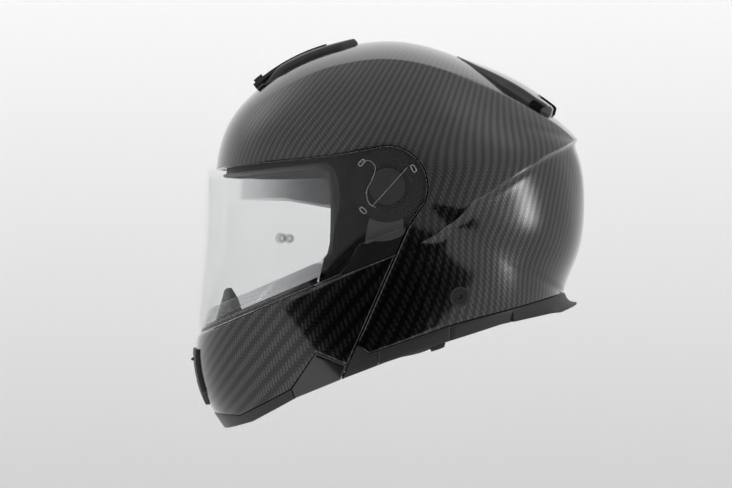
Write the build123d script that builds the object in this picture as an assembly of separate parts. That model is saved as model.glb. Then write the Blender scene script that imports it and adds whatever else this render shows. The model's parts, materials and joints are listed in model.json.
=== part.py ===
from build123d import *

import os
from math import acos, cos, hypot, radians, sin, tan

# Flip-up (modular) motorcycle helmet with a carbon shell, as an assembly of separate pieces.
#
# Frame, in millimetres: the helmet is upright as worn and faces -Y, +Z is up, and +X is the wearer's
# left. The origin is where the axis shared by the visor and the chin bar crosses the mid-plane.
# Side outlines are lists of (y, z) points. Writes one STEP file per piece into parts/.

# ---------------------------------------------------------------- driving dimensions
HALF_WIDTH = 125.0  # widest point of the shell, on the pivot axis
ROUNDNESS = 2.2  # exponent of the superellipse law that narrows the form away from the mid-plane
SHELL_WALL = 4.0  # carbon laminate with its gel coat
RECESS_DEPTH = 9.0  # how far the ledge under the visor and chin bar lies below the shell
LEDGE_WALL = 3.0
SHUT_GAP = 0.9  # gap all round the visor and the chin bar when closed
VISOR_WALL = 2.0
VISOR_PROUD = 2.9  # the visor stands this far outside the shell at the sides
PIVOT_RECESS_R = 33.5  # round recess in the shell around the pivot
LINER_OUTER = 12.4  # depth of the foam liner's outside below the shell's outside
REST_SLOPE = tan(radians(19.5))  # the helmet stands on a plane tilted like this from the worn pose
REST_Z_AT_NAPE = -102.5  # height of that plane at NAPE_Y
NAPE_Y = 150.0
FAR = 215.0  # beyond every piece, for open-ended cutting regions

# Mid-plane outline of the shell: forehead, crown, nape, and on below the base to the chin.
SHELL_PROFILE = [
    (-145.2, 21), (-134, 58), (-106.5, 88.6), (-73.8, 109.8), (-35, 122.4), (5, 126.8), (46.6, 118.8),
    (81, 103.5), (115, 82), (143, 61), (161, 40), (170.4, -13), (164.4, -56), (154, -82), (148, -110),
    (130, -170), (70, -235), (-20, -262), (-100, -245), (-141, -200), (-154, -179), (-160.7, -159),
    (-163, -138), (-157, -105), (-150, -60), (-147, -15),
]
# Mid-plane outline of the visor's outside, closed round the back so that it is a whole form.
VISOR_PROFILE = [
    (-153.8, 8.3), (-157.2, -52), (-161.5, -112), (-160, -150), (-130, -215), (-30, -258), (90, -215),
    (150, -110), (172, -10), (150, 95), (60, 158), (-50, 160), (-138, 88),
]
# Mid-plane outline of the raised exhaust fairing behind the crown.
FAIRING_PROFILE = [
    (-145, 20), (-100, 85), (-35, 118), (5, 125), (46.6, 119.4), (81, 106.8), (115.4, 88.3), (140.3, 71.1),
    (160, 50), (166, -13), (130, -120), (0, -200), (-120, -150),
]
# Mid-plane outline of the room for the head.
HEAD_PROFILE = [
    (-103, 20), (-94, 52), (-62, 76), (-5, 85), (50, 79), (92, 56), (116, 15), (118, -25), (106, -62),
    (92, -95), (88, -150), (0, -215), (-90, -190), (-108, -100), (-106, -30),
]
HEAD_HALF_WIDTH = 81.0
CHEEK_PAD_INNER_X = 62.0

# ---------------------------------------------------------------- side-view landmarks (y, z)
BROW_FRONT = (-149.5, 16.9)
BROW_SIDE = (-43.0, 26.0)
BROW_LEDGE_DROP = 8.0
RECESS_LOW = (30.3, -14.3)  # where the round recess turns into the seam's chamfer
SEAM_TOP = (17.1, -33.7)
SEAM_BOTTOM = (-36.5, -157.5)
VISOR_CORNER = (-23.6, -49.1)
CHIN_TOP_SIDE = (-36.6, -71.9)
CHIN_TOP_FRONT = (-157.2, -123.2)
SIDE_TRIM_TOP = (-58.1, -135.5)
SIDE_TRIM_FRONT = (-78.8, -166.4)
SIDE_TRIM_FOOT = (-75.7, -174.4)
SIDE_TRIM_REAR_Z = (-146.1, -158.4)  # where the side trim meets the seam
CHIN_REAR_Z = -54.8  # where the chin bar's skin starts at the seam
CHIN_FOOT = [(-122.5, -190.3), (-FAR, -190.7)]
SHELL_FOOT = [(-14.7, -136.6), (49.8, -114.3), (145.6, -89.7), (FAR, -72.0)]
TRIM_FOOT = [(0.9, -143.0), (47.5, -127.6), (93.2, -113.4), (137.6, -103.4), (FAR, -90.0)]
PORT_CENTRE = (59.7, -90.0)
PORT_R = 8.4

# ---------------------------------------------------------------- pivot stack, distances from the mid-plane
BASE_PLATE_X = (115.1, 117.5)
ARM_RING_X = (117.8, 119.8)
POD_X = (120.0, 121.6)
POD_RIM_X = (121.6, 123.5)
HUB_R = 12.0
HUB_END_X = 121.8
RUNNING_CLEARANCE = 0.05
PIVOT_BOLT_R = 3.0
SCREW_R = 2.0
SCREW_HEAD_R = 3.5
SCREW_HEAD_SINK = 1.2  # how far the head's seat lies below the base plate's face

# ---------------------------------------------------------------- moving details
SUN_VISOR_R = 126.0  # outside radius of the sun visor about the pivot axis
SUN_VISOR_HALF_WIDTH = 110.4
SUN_VISOR_WALL = 2.0
VENT_AXIS = (-7.5, -28.2)  # centre of the arc that the shell follows under the crown vent (y, z)
VENT_R = 153.1
VENT_SLOTS = (-15.0, 15.0)  # centres of the two air passages (x)
PIN_NECK_R = 2.2
STRIKER = (-74.0, -129.0)
STRIKER_R = 3.0
HOOK_PIVOT = (-98.0, -118.0)
HOOK_PIN_R = 2.5
BUCKLE_CENTRE = (22.0, -47.0, -154.0)
ARM_SCREWS = [(-10.0, -72.0, 113.7), (-27.0, -82.0, 112.4)]  # y, z and the inner end's x
ARM_SCREW_TIP = 119.0
BASE_SCREWS = [(26.5 * cos(radians(a)), 26.5 * sin(radians(a))) for a in (20, 140, 260)]
BRACKET_RIVETS = [(-56.0, -121.0), (-56.0, -134.0)]
RIVET_HOLE_R = 2.05
SUN_VISOR_TOP = 44.0  # degrees above the forward direction, stowed
CHIN_VENT_WINDOW = [(-22, -141.5), (22, -141.5), (18, -163.5), (-18, -163.5)]
CHIN_VENT_PIVOT = (-164.9, -144.8)

SIDES = {"left": 1, "right": -1}
forms = {}


# ---------------------------------------------------------------- shape helpers
def form(profile, half_width, grow=0.0, stations=13, blunt=0.17):
    """Solid whose section at each distance from the mid-plane is the side profile, shrunk towards the
    pivot axis by the superellipse law. It ends in small flat faces round the pivots."""
    key = (id(profile), half_width, grow)
    if key in forms:
        return forms[key]
    last = acos(blunt ** (ROUNDNESS / 2))
    sections = []
    for i in range(stations):
        t = last * (2 * i / (stations - 1) - 1)
        x = (half_width + grow) * abs(sin(t)) ** (2 / ROUNDNESS) * (1 if t >= 0 else -1)
        share = cos(t) ** (2 / ROUNDNESS)
        points = [
            Vector(x, *(c * share * (1 + grow / hypot(y, z)) for c in (y, z))) for y, z in profile
        ]
        sections.append(Wire([Edge.make_spline(points, periodic=True)]))
    forms[key] = Solid.make_loft(sections)
    return forms[key]


def shell_form(grow=0.0):
    return form(SHELL_PROFILE, HALF_WIDTH, grow)


def visor_form(grow=0.0):
    return form(VISOR_PROFILE, HALF_WIDTH + VISOR_PROUD, grow)


def head_form(grow=0.0):
    return form(HEAD_PROFILE, HEAD_HALF_WIDTH, grow)


def side_prism(outline, x0=-150.0, x1=150.0):
    """A side-view outline carried straight across from x0 to x1."""
    face = Face(Wire.make_polygon([Vector(x0, y, z) for y, z in outline], close=True))
    return Solid.extrude(face, Vector(x1 - x0, 0, 0))


def front_prism(outline, y0, y1):
    """A front-view (x, z) outline carried from y0 to y1."""
    face = Face(Wire.make_polygon([Vector(x, y0, z) for x, z in outline], close=True))
    return Solid.extrude(face, Vector(0, y1 - y0, 0))


def top_prism(outline, z0, z1):
    """A top-view (x, y) outline carried from z0 to z1."""
    face = Face(Wire.make_polygon([Vector(x, y, z0) for x, y in outline], close=True))
    return Solid.extrude(face, Vector(0, 0, z1 - z0))


def side_disc(radius, x0, x1, centre=(0.0, 0.0)):
    """A round bar along X."""
    plane = Plane(origin=(x0, *centre), z_dir=(1, 0, 0))
    return Solid.make_cylinder(radius, x1 - x0, plane)


def side_ring(outer, inner, x0, x1, centre=(0.0, 0.0)):
    return side_disc(outer, x0, x1, centre) - side_disc(inner, x0 - 1, x1 + 1, centre)


def skin(outer, inner, region):
    """The layer between two depths of the shell's form, kept inside a region."""
    return (shell_form(outer) & region) - shell_form(inner)


def half(shape, side):
    """The part of a shape on one side of the mid-plane."""
    x0, x1 = (0.0, 150.0) if side > 0 else (-150.0, 0.0)
    return shape & Solid.make_box(x1 - x0, 700, 700, Plane(origin=(x0, -350, -350)))


def mirrored(shape, side):
    """The shape as built for the left, or its mirror image for the right."""
    return shape if side > 0 else shape.mirror(Plane.YZ)


def group(*shapes):
    """Separate solids that share one node."""
    return Compound(children=[s for shape in shapes for s in shape.solids()])


def inset(outline, gap):
    """An anticlockwise outline with every edge moved inwards by gap."""
    moved = []
    for i, (y, z) in enumerate(outline):
        before, after = outline[i - 1], outline[(i + 1) % len(outline)]
        u = (y - before[0], z - before[1])
        v = (after[0] - y, after[1] - z)
        nu = (-u[1] / hypot(*u), u[0] / hypot(*u))
        nv = (-v[1] / hypot(*v), v[0] / hypot(*v))
        share = gap / (1 + nu[0] * nv[0] + nu[1] * nv[1])
        moved.append((y + (nu[0] + nv[0]) * share, z + (nu[1] + nv[1]) * share))
    return moved


def shifted(outline, dy, dz):
    return [(y + dy, z + dz) for y, z in outline]


def along(a, b, y):
    """Height at y on the straight line through two side-view points."""
    return a[1] + (b[1] - a[1]) * (y - a[0]) / (b[0] - a[0])


def rest_z(y):
    return REST_Z_AT_NAPE + (y - NAPE_Y) * REST_SLOPE


def seam_y(z):
    return SEAM_TOP[0] + (z - SEAM_TOP[1]) * (SEAM_BOTTOM[0] - SEAM_TOP[0]) / (SEAM_BOTTOM[1] - SEAM_TOP[1])


def seam_point(z):
    """Point on the chin bar's side of the seam."""
    return (seam_y(z) - SHUT_GAP, z)


def surface_plane(y, z, reach, lean, half_width=HALF_WIDTH):
    """Plane on a form's left surface at (y, z), facing out. reach is the side profile's distance from
    the axis in that direction, and lean is the profile's own outward (y, z) normal there."""
    r = hypot(y, z)
    x = half_width * (1 - (r / reach) ** ROUNDNESS) ** (1 / ROUNDNESS)
    across = (x / half_width) ** (ROUNDNESS - 1) / half_width
    radial = (r / reach) ** (ROUNDNESS - 1) * r / (reach * (lean[0] * y + lean[1] * z))
    normal = Vector(across, radial * lean[0], radial * lean[1])
    return Plane(origin=(x, y, z), x_dir=(0, 1, 0), z_dir=normal.normalized())


def bar(radius, length, plane, start=0.0):
    """A round bar along a plane's normal, from start to start + length."""
    return Solid.make_cylinder(radius, length, plane.offset(start))


def block(width, depth, height, plane, start=0.0):
    """A box centred on a plane, standing from start to start + height along its normal."""
    low = plane.offset(start)
    corner = low.origin - low.x_dir * (width / 2) - low.y_dir * (depth / 2)
    return Solid.make_box(width, depth, height, Plane(origin=corner, x_dir=low.x_dir, z_dir=low.z_dir))


def ribbon(path, width, thickness):
    """A flat strap through points, given as (centre, face normal) pairs."""
    centres = [Vector(c) for c, _ in path]
    sections = []
    for i, (_, normal) in enumerate(path):
        ahead = centres[min(i + 1, len(path) - 1)] - centres[max(i - 1, 0)]
        plane = Plane(origin=centres[i], x_dir=Vector(normal).cross(ahead), z_dir=ahead)
        w, t = width / 2, thickness / 2
        corners = [plane.from_local_coords(Vector(a, b, 0)) for a, b in ((-w, -t), (w, -t), (w, t), (-w, t))]
        sections.append(Wire.make_polygon(corners, close=True))
    return Solid.make_loft(sections, ruled=True)


# ---------------------------------------------------------------- side-view regions
def shell_region(inset=0.0):
    """Everything behind the brow line, the round recess and the seam, down to the shell's foot."""
    outline = [
        (-FAR, along(BROW_FRONT, BROW_SIDE, -FAR) + inset),
        (BROW_SIDE[0], BROW_SIDE[1] + inset),
        (0, PIVOT_RECESS_R + inset),
        (0, 0),
        (RECESS_LOW[0] + inset, RECESS_LOW[1]),
        (SEAM_TOP[0] + inset, SEAM_TOP[1]),
        (seam_y(-130) + inset, -130),
        (SHELL_FOOT[0][0] + inset / 2, SHELL_FOOT[0][1]),
        *SHELL_FOOT[1:],
        (FAR, FAR),
        (-FAR, FAR),
    ]
    return side_prism(outline) - side_disc(PIVOT_RECESS_R + inset, -160, 160)


EYE_PORT_REAR = [(-60, 16), (-48, 10), (-46.4, -2.7), (-37.4, -19), (-44, -31), (-50.5, -61.4)]


def ledge_region():
    """The shell with its recessed ledge, as far as the edge of the face opening."""
    outline = [
        (-FAR, along(BROW_FRONT, BROW_SIDE, -FAR) - BROW_LEDGE_DROP),
        *EYE_PORT_REAR,
        (-63, -108),
        (-66, -138),
        (-30, -145),
        *SHELL_FOOT,
        (FAR, FAR),
        (-FAR, FAR),
    ]
    return side_prism(outline)


def chin_region():
    """The chin bar's carbon skin."""
    outline = [
        (-FAR, along(CHIN_TOP_SIDE, CHIN_TOP_FRONT, -FAR)),
        *reversed(CHIN_FOOT),
        SIDE_TRIM_FRONT,
        SIDE_TRIM_TOP,
        seam_point(SIDE_TRIM_REAR_Z[0]),
        seam_point(CHIN_REAR_Z),
        CHIN_TOP_SIDE,
    ]
    return side_prism(inset(outline, 0.2))


def visor_region():
    front_low = along(CHIN_TOP_SIDE, CHIN_TOP_FRONT, -FAR) + SHUT_GAP
    outline = [
        (-FAR, along(BROW_FRONT, BROW_SIDE, -FAR) - SHUT_GAP),
        (BROW_SIDE[0], BROW_SIDE[1] - SHUT_GAP),
        (0, PIVOT_RECESS_R - SHUT_GAP),
        (0, 0),
        (SEAM_TOP[0] - SHUT_GAP, SEAM_TOP[1] + SHUT_GAP),
        (VISOR_CORNER[0] - 0.5, VISOR_CORNER[1] + SHUT_GAP),
        (CHIN_TOP_SIDE[0] - 0.7, CHIN_TOP_SIDE[1] + SHUT_GAP),
        (-FAR, front_low),
    ]
    return side_prism(outline) + side_disc(PIVOT_RECESS_R - SHUT_GAP, -160, 160)


# ---------------------------------------------------------------- shell pieces
def port_plane():
    return surface_plane(*PORT_CENTRE, reach=220, lean=(0.73, -0.68))


def outer_shell():
    body = shell_form() & shell_region()
    for x in VENT_SLOTS:
        body -= vent_slot(x)
    body += shell_form(-RECESS_DEPTH) & ledge_region()
    body -= shell_form(-RECESS_DEPTH - LEDGE_WALL)
    body -= shell_form(-SHELL_WALL) & shell_region(inset=4.0)
    for side in SIDES.values():
        body -= mirrored(bar(PORT_R, 30, port_plane(), -20), side)
        body -= mirrored(side_disc(PIVOT_BOLT_R, 100, 125), side)
        for centre in BASE_SCREWS:
            body -= mirrored(side_disc(SCREW_R, 100, 125, centre), side)
        for centre in BRACKET_RIVETS:
            body -= mirrored(side_disc(RIVET_HOLE_R, 85, 115, centre), side)
    return body


def vent_slot(x):
    """Upright cutter for an air passage under the crown vent."""
    return top_prism([(x - 5, -98), (x + 5, -98), (x + 5, -68), (x - 5, -68)], 70, 150)


def shell_lower_trim():
    """Edge moulding under the shell, open at the front where the chin bar closes against it."""
    top = [(seam_y(-130.4), -130.4), *shifted(SHELL_FOOT, 0, -0.4)]
    bottom = list(reversed([SEAM_BOTTOM, *TRIM_FOOT]))
    return skin(0.4, -6.0, side_prism(top + bottom))


def nape_lip():
    """Flared rubber lip round the nape. Its lower edge has the rear flat that the helmet stands on."""
    outline = [
        (104, -101), (140, -91.6), (150, -92.5), (160.5, -97.5), (160.5, rest_z(160.5)),
        (146, rest_z(146)), (137.6, -104.2), (104, -111),
    ]
    right = [(-98, 103), (-86, 128), (-52, 156), (-30, 161)]
    plan = top_prism(right + [(-x, y) for x, y in reversed(right)], -125, -80)
    return (shell_form(14.0) & side_prism(outline) & plan) - shell_form(0.7)


def eye_port_gasket():
    """Rubber edge seal on the ledge, above and beside the eye port."""
    edge = [(-FAR, along(BROW_FRONT, BROW_SIDE, -FAR) - BROW_LEDGE_DROP), *EYE_PORT_REAR]
    band = edge + list(reversed(shifted(edge, -2.2, -2.4)))
    return skin(-RECESS_DEPTH + 2.5, -RECESS_DEPTH - 5.5, side_prism(band)) - ledge_region()


def impact_liner():
    """Expanded foam liner with the sun visor's pocket in front and above the temples."""
    region = side_prism([
        (-FAR, 6.0), (-62, 13), (-40, 8), (-36, -20), (-34, -36), (62, -38), (66, -82), (FAR, -45),
        (FAR, FAR), (-FAR, FAR),
    ])
    body = shell_form(-LINER_OUTER) & region
    body += (shell_form(-SHELL_WALL - 0.4) & shell_region(inset=6.0)) & region
    body -= head_form(7.6)
    pocket = side_prism([(-FAR, -50), (14, -50), (14, 60), (0, FAR), (-FAR, FAR)])
    body -= pocket - revolved_band(SUN_VISOR_R - SUN_VISOR_WALL - 1.6, SUN_VISOR_HALF_WIDTH - 5.0)
    for x in VENT_SLOTS:
        body -= vent_slot(x)
    return max(body.solids(), key=lambda s: s.volume)


def crown_pad():
    region = side_prism([(-FAR, 18), (-60, 18), (-30, -10), (70, -30), (FAR, -30), (FAR, FAR), (-FAR, FAR)])
    return (head_form(7.2) & region) - head_form(0.0)


def cheek_pad(side):
    outline = [(-38, -42), (50, -42), (47, -70), (24, -104), (10, -117), (-30, -126), (-44, -118)]
    pad = shell_form(-LINER_OUTER - 0.4) & side_prism(outline, CHEEK_PAD_INNER_X, 140)
    return mirrored(pad, side)


def neck_roll():
    """Padded roll round the back and sides of the neck opening."""
    outline = [(79, -105), (80, -79.5), (FAR, -46.5), (FAR, -74), (104, -101)]
    return skin(-6.6, -27.0, side_prism(outline))


def crown_vent_band(r0, r1, half_width, start, stop):
    """Arc-shaped band over the crown: start and stop are angles above the forward direction."""
    y, z = VENT_AXIS
    rays = [(y - 2 * r1 * cos(radians(a)), z + 2 * r1 * sin(radians(a))) for a in (start, stop)]
    ring = side_ring(r1, r0, -half_width, half_width, VENT_AXIS)
    return ring & side_prism([VENT_AXIS, *rays])


def crown_vent_frame():
    """Vent housing with two raised rails and a scooped channel between them."""
    plan = top_prism([
        (-12, -119), (-30, -104), (-37, -70), (-34, -38), (-24, -24), (24, -24), (34, -38), (37, -70),
        (30, -104), (12, -119),
    ], 40, 160)
    body = (crown_vent_band(VENT_R - 14, VENT_R + 5.2, 40, 42, 84) & plan) - shell_form(0.15)
    body -= crown_vent_band(VENT_R + 1.4, VENT_R + 12, 24.5, 45, 81.5)
    for x in VENT_SLOTS:
        body -= vent_slot(x)
    return max(body.solids(), key=lambda s: s.volume)


def crown_vent_slider():
    cover = crown_vent_band(VENT_R + 2.0, VENT_R + 4.8, 23.5, 48.0, 74.0)
    knob = crown_vent_band(VENT_R + 4.7, VENT_R + 8.2, 10, 49.0, 52.0)
    return cover + knob


def rear_fairing():
    """Exhaust fairing behind the crown, with three ducts that open to the rear."""
    plan = top_prism([
        (-20, 62), (-42, 92), (-52, 128), (-44, 138), (-20, 142), (20, 142), (44, 138), (52, 128),
        (42, 92), (20, 62),
    ], 30, 140)
    body = (form(FAIRING_PROFILE, HALF_WIDTH - 1) & plan) - shell_form(0.15)
    for x in (-27, 0, 27):
        body -= exhaust_duct(x, 11.0)
    return max(body.solids(), key=lambda s: s.volume)


def exhaust_duct(x, half_width):
    outline = [(98, 92), (150, 58), (150, 64.5), (98, 98)]
    return side_prism(shifted(outline, 0, -abs(x) * 0.08), x - half_width, x + half_width)


def pivot_base_plate(side):
    """Mechanism plate screwed into the recess, with the hub that the arm and the visor turn on."""
    body = side_disc(31.0, *BASE_PLATE_X) + side_disc(HUB_R, BASE_PLATE_X[0], HUB_END_X)
    body -= side_disc(PIVOT_BOLT_R, 110, 130)
    for centre in BASE_SCREWS:
        body -= side_disc(SCREW_R, 110, 130, centre)
        body -= side_disc(SCREW_HEAD_R + 0.1, BASE_PLATE_X[1] - SCREW_HEAD_SINK, 130, centre)
    return mirrored(body, side)


def base_plate_screws():
    seat = BASE_PLATE_X[1] - SCREW_HEAD_SINK
    one = [
        side_disc(SCREW_R, 112.1, seat, c) + side_disc(SCREW_HEAD_R, seat, BASE_PLATE_X[1] - 0.1, c)
        for c in BASE_SCREWS
    ]
    return group(*(mirrored(s, side) for s in one for side in SIDES.values()))


def pivot_bolts():
    """Slotted shoulder bolts that close the pivot stack."""
    bolt = side_disc(15.0, 121.9, 123.5) + side_disc(PIVOT_BOLT_R, 106.2, 121.9)
    bolt -= Solid.make_box(2, 3, 22, Plane(origin=(122.6, -1.5, -11)))
    return group(*(mirrored(bolt, side) for side in SIDES.values()))


def strap_anchor_bezels():
    plane = port_plane()
    bezel = bar(PORT_R - 0.1, 4.6, plane, -4.2) - bar(5.9, 20, plane, -10)
    bezel -= Solid.make_cone(5.8, 8.0, 2.4, plane.offset(-1.9))
    return group(*(mirrored(bezel, side) for side in SIDES.values()))


def strap_anchor_bolts():
    plane = port_plane()
    bolt = bar(5.7, 2.2, plane, -4.0) + bar(3.0, 9.0, plane, -13.0)
    bolt -= bar(2.4, 5, plane, -3.2)
    return group(*(mirrored(bolt, side) for side in SIDES.values()))


def chin_strap(side):
    """Webbing from the anchor bolt to the buckle, or to the ratchet strip on the right."""
    end_x, end_z = (24.0, -150.2) if side > 0 else (30.0, -152.7)
    path = [
        ((100.5, 66, -85), (1, 0.1, -0.25)),
        ((98.5, 58, -96), (1, 0.1, -0.3)),
        ((93, 46, -113), (0.85, 0, -0.5)),
        ((84, 26, -128.5), (0.65, -0.2, -0.75)),
        ((68, -8, -139), (0.4, -0.2, -0.9)),
        ((54, -34, -149), (0.3, -0.1, -0.95)),
        ((end_x, -47, end_z), (0, 0, -1)),
    ]
    strap = ribbon(path, 22, 1.8)
    strap -= bar(3.1, 40, port_plane(), -30)
    return mirrored(strap, side)


def buckle_body():
    x, y, z = BUCKLE_CENTRE
    plane = Plane(origin=(x, y, z))
    base = block(38, 27, 1.4, plane, 0.8)
    walls = [block(30, 1.6, 8.0, Plane(origin=(x - 4, y + s * 12.7, z)), -6.0) for s in (-1, 1)]
    body = base + walls[0] + walls[1]
    return body - y_bar(1.55, x + 7, z - 4.2, y - 20, y + 20)


def y_bar(radius, x, z, y0, y1):
    return Solid.make_cylinder(radius, y1 - y0, Plane(origin=(x, y0, z), z_dir=(0, 1, 0)))


def buckle_lever():
    """Quick-release lever: a cover plate with a finger lip, turning on the buckle pin."""
    x, y, z = BUCKLE_CENTRE
    plate = block(30, 22.6, 1.4, Plane(origin=(x - 7, y, z)), -6.6)
    eye = y_bar(3.0, x + 7, z - 4.2, y - 11.3, y + 11.3)
    lip = block(2.0, 16, 4.0, Plane(origin=(x - 21, y, z)), -9.4)
    return plate + eye + lip - y_bar(1.55, x + 7, z - 4.2, y - 20, y + 20)


def buckle_pin():
    x, y, z = BUCKLE_CENTRE
    return y_bar(1.5, x + 7, z - 4.2, y - 13.4, y + 13.4)


def ratchet_strip():
    """Toothed plastic strip on the right strap, which slides into the buckle in small steps."""
    x, y, z = BUCKLE_CENTRE
    plane = Plane(origin=(-13.0, y, z))
    strip = block(52, 17, 2.2, plane, -1.9)
    for i in range(9):
        strip -= block(1.6, 15, 1.0, Plane(origin=(-8.0 + 2.8 * i, y, z)), -2.4)
    return strip


def latch_strikers():
    """Steel pins for the chin-bar latches, each on a bracket riveted inside the ledge."""
    outline = [(-62, -115), (-80, -123), (-80, -135), (-62, -140), (-50, -138), (-50, -117)]
    plate = side_prism(outline, 90.5, 93.0)
    one = plate + side_disc(STRIKER_R, 79.5, 91.5, STRIKER)
    for centre in BRACKET_RIVETS:
        one -= side_disc(RIVET_HOLE_R, 85, 100, centre)
    return group(*(mirrored(one, side) for side in SIDES.values()))


def bracket_rivets():
    one = [side_disc(2.0, 90.0, 101.0, c) + side_disc(3.6, 88.6, 90.4, c) for c in BRACKET_RIVETS]
    return group(*(mirrored(r, side) for r in one for side in SIDES.values()))


# ---------------------------------------------------------------- sun visor
def revolved_band(radius, half_width, blunt=0.08):
    """Solid of revolution about the pivot axis with a superellipse outline."""
    steps = 14
    last = acos(blunt ** (ROUNDNESS / 2))
    points = []
    for i in range(steps + 1):
        t = last * (1 - 2 * i / steps)
        x = half_width * abs(sin(t)) ** (2 / ROUNDNESS) * (1 if t >= 0 else -1)
        points.append(Vector(x, radius * cos(t) ** (2 / ROUNDNESS), 0))
    curve = Edge.make_spline(points)
    wire = Wire([curve, Edge.make_line(points[-1], (points[-1].X, 0, 0)),
                 Edge.make_line((points[-1].X, 0, 0), (points[0].X, 0, 0)),
                 Edge.make_line((points[0].X, 0, 0), points[0])])
    return Solid.revolve(Face(wire), 360, Axis.X)


def sun_visor():
    """Tinted inner visor, a slice of a solid of revolution, with side arms that reach its pivots."""
    layer = revolved_band(SUN_VISOR_R, SUN_VISOR_HALF_WIDTH)
    layer -= revolved_band(SUN_VISOR_R - SUN_VISOR_WALL, SUN_VISOR_HALF_WIDTH - SUN_VISOR_WALL)
    reach, top = 150.0, radians(SUN_VISOR_TOP)
    outline = [
        (9, 7), (9, -7), (-6, -9), (-45, -15.5), (-86, -8.5), (-reach, 6.0),
        (-1.1 * reach * cos(top * 0.6), 1.1 * reach * sin(top * 0.6)),
        (-reach * cos(top), reach * sin(top)),
        (-62, 52), (-40, 24), (-8, 9),
    ]
    lens = layer & side_prism(outline)
    for side in SIDES.values():
        lens -= mirrored(side_disc(3.0 + RUNNING_CLEARANCE, 100, 120), side)
    return max(lens.solids(), key=lambda s: s.volume)


def sun_visor_clips():
    """Spring clips on the inner ends of the pivot bolts, which keep the sun visor's arms on."""
    clip = side_ring(6.0, PIVOT_BOLT_R, 106.4, 107.8)
    return group(*(mirrored(clip, side) for side in SIDES.values()))


def sun_visor_lever():
    """Thumb slider under the left edge, which works the sun visor through a cable."""
    tab_outline = [(35, -131.8), (48, -127.5), (47.2, -131.0), (45.6, -132.0), (36.5, -135.0)]
    stem_outline = [(37, -132.5), (46, -129.5), (46, -112), (37, -115)]
    return side_prism(tab_outline, 96.5, 104.5) + side_prism(stem_outline, 96.5, 98.5)


# ---------------------------------------------------------------- chin bar
def chin_bar_shell():
    body = skin(0.0, -SHELL_WALL, chin_region())
    for side in SIDES.values():
        body -= mirrored(side_disc(HOOK_PIN_R, 70, 98.8, HOOK_PIVOT), side)
        for y, z, x in ARM_SCREWS:
            body -= mirrored(side_disc(SCREW_R, x, ARM_SCREW_TIP, (y, z)), side)
    return body - chin_vent_window()


def chin_bar_arm(side):
    """Ring round the hub, side cover below the visor, and a tongue screwed behind the carbon skin."""
    ring = side_ring(22.0, HUB_R + RUNNING_CLEARANCE, *ARM_RING_X)
    link_outline = [(-13, -17), (-18, -44), (-16, -49), (8, -44), (13.5, -36), (13, -17)]
    link = side_prism(link_outline, *ARM_RING_X) - side_disc(HUB_R + RUNNING_CLEARANCE, 110, 130)
    cover_outline = [
        VISOR_CORNER,
        CHIN_TOP_SIDE,
        seam_point(CHIN_REAR_Z),
        seam_point(SEAM_TOP[1]),
    ]
    cover = skin(0.0, -7.0, side_prism(inset(cover_outline, 0.35), 90, 150))
    tongue_outline = [(4, -52), (-33, -68), (-40, -88), (-12, -92), (-4, -76)]
    tongue = skin(-SHELL_WALL - 0.1, -7.0, side_prism(tongue_outline, 90, 150))
    arm = ring + link + cover + tongue
    for y, z, x in ARM_SCREWS:
        arm -= side_disc(SCREW_R, x, ARM_SCREW_TIP, (y, z))
    return mirrored(arm, side)


def arm_screws():
    one = [side_disc(SCREW_R, x, ARM_SCREW_TIP - 1.2, (y, z)) for y, z, x in ARM_SCREWS]
    return group(*(mirrored(s, side) for s in one for side in SIDES.values()))


def chin_side_trim(side):
    outline = [
        SIDE_TRIM_TOP,
        SIDE_TRIM_FRONT,
        SIDE_TRIM_FOOT,
        seam_point(SIDE_TRIM_REAR_Z[1]),
        seam_point(SIDE_TRIM_REAR_Z[0]),
    ]
    return half(skin(0.3, -SHELL_WALL, side_prism(inset(outline, 0.2))), side)


def chin_lower_trim():
    """Edge moulding under the chin, with the front flat that the helmet stands on."""
    outline = [
        SIDE_TRIM_FRONT,
        *CHIN_FOOT,
        (-FAR, rest_z(-FAR)),
        (-112, rest_z(-112)),
        SIDE_TRIM_FOOT,
    ]
    body = skin(0.3, -16.0, side_prism(inset(outline, 0.2)))
    return body - block(35, 12.6, 30, button_plane(), -10)


def button_plane():
    """Plane of the release button, level with the rest plane and facing up into the chin bar."""
    slope = (0, -REST_SLOPE, 1)
    return Plane(origin=(0, -130.5, rest_z(-130.5) + 0.6), x_dir=(1, 0, 0), z_dir=slope)


def release_button():
    plane = button_plane()
    return block(34, 11.6, 5.0, plane) + block(20, 6, 3.0, plane, 5.0)


def chin_bar_gasket():
    """Rubber seal along the chin bar's upper edge, behind the visor."""
    top = [(y, along(CHIN_TOP_SIDE, CHIN_TOP_FRONT, y)) for y in (-FAR, -62)]
    band = shifted(top, 0, 4.5) + list(reversed(shifted(top, 0, -6)))
    return skin(-SHELL_WALL - 0.2, -9.0, side_prism(band))


def chin_liner():
    region = side_prism([(-175, -136), (-90, -100), (-92, -160), (-122, -176.5), (-175, -182)])
    body = skin(-9.3, -30.0, region) - Solid.make_box(240, 30, 42, Plane(origin=(-120, -108, -146)))
    return max(body.solids(), key=lambda s: s.volume)


def chin_vent_frame():
    """Mouth vent surround on the front of the chin bar."""
    right = [(34, -136), (28, -172), (14, -184)]
    face = front_prism(right + [(-x, z) for x, z in reversed(right)], -FAR, -120)
    body = (shell_form(3.2) & face) - shell_form(0.15)
    return body - chin_vent_window()


def chin_vent_window(gap=0.0):
    return front_prism(inset(list(reversed(CHIN_VENT_WINDOW)), gap), -FAR, -120)


def chin_vent_flap():
    """Hinged flap in the mouth vent."""
    body = (shell_form(2.9) & chin_vent_window(gap=1.0)) - shell_form(0.9)
    return body + side_disc(1.2, -20.5, 20.5, CHIN_VENT_PIVOT)


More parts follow.
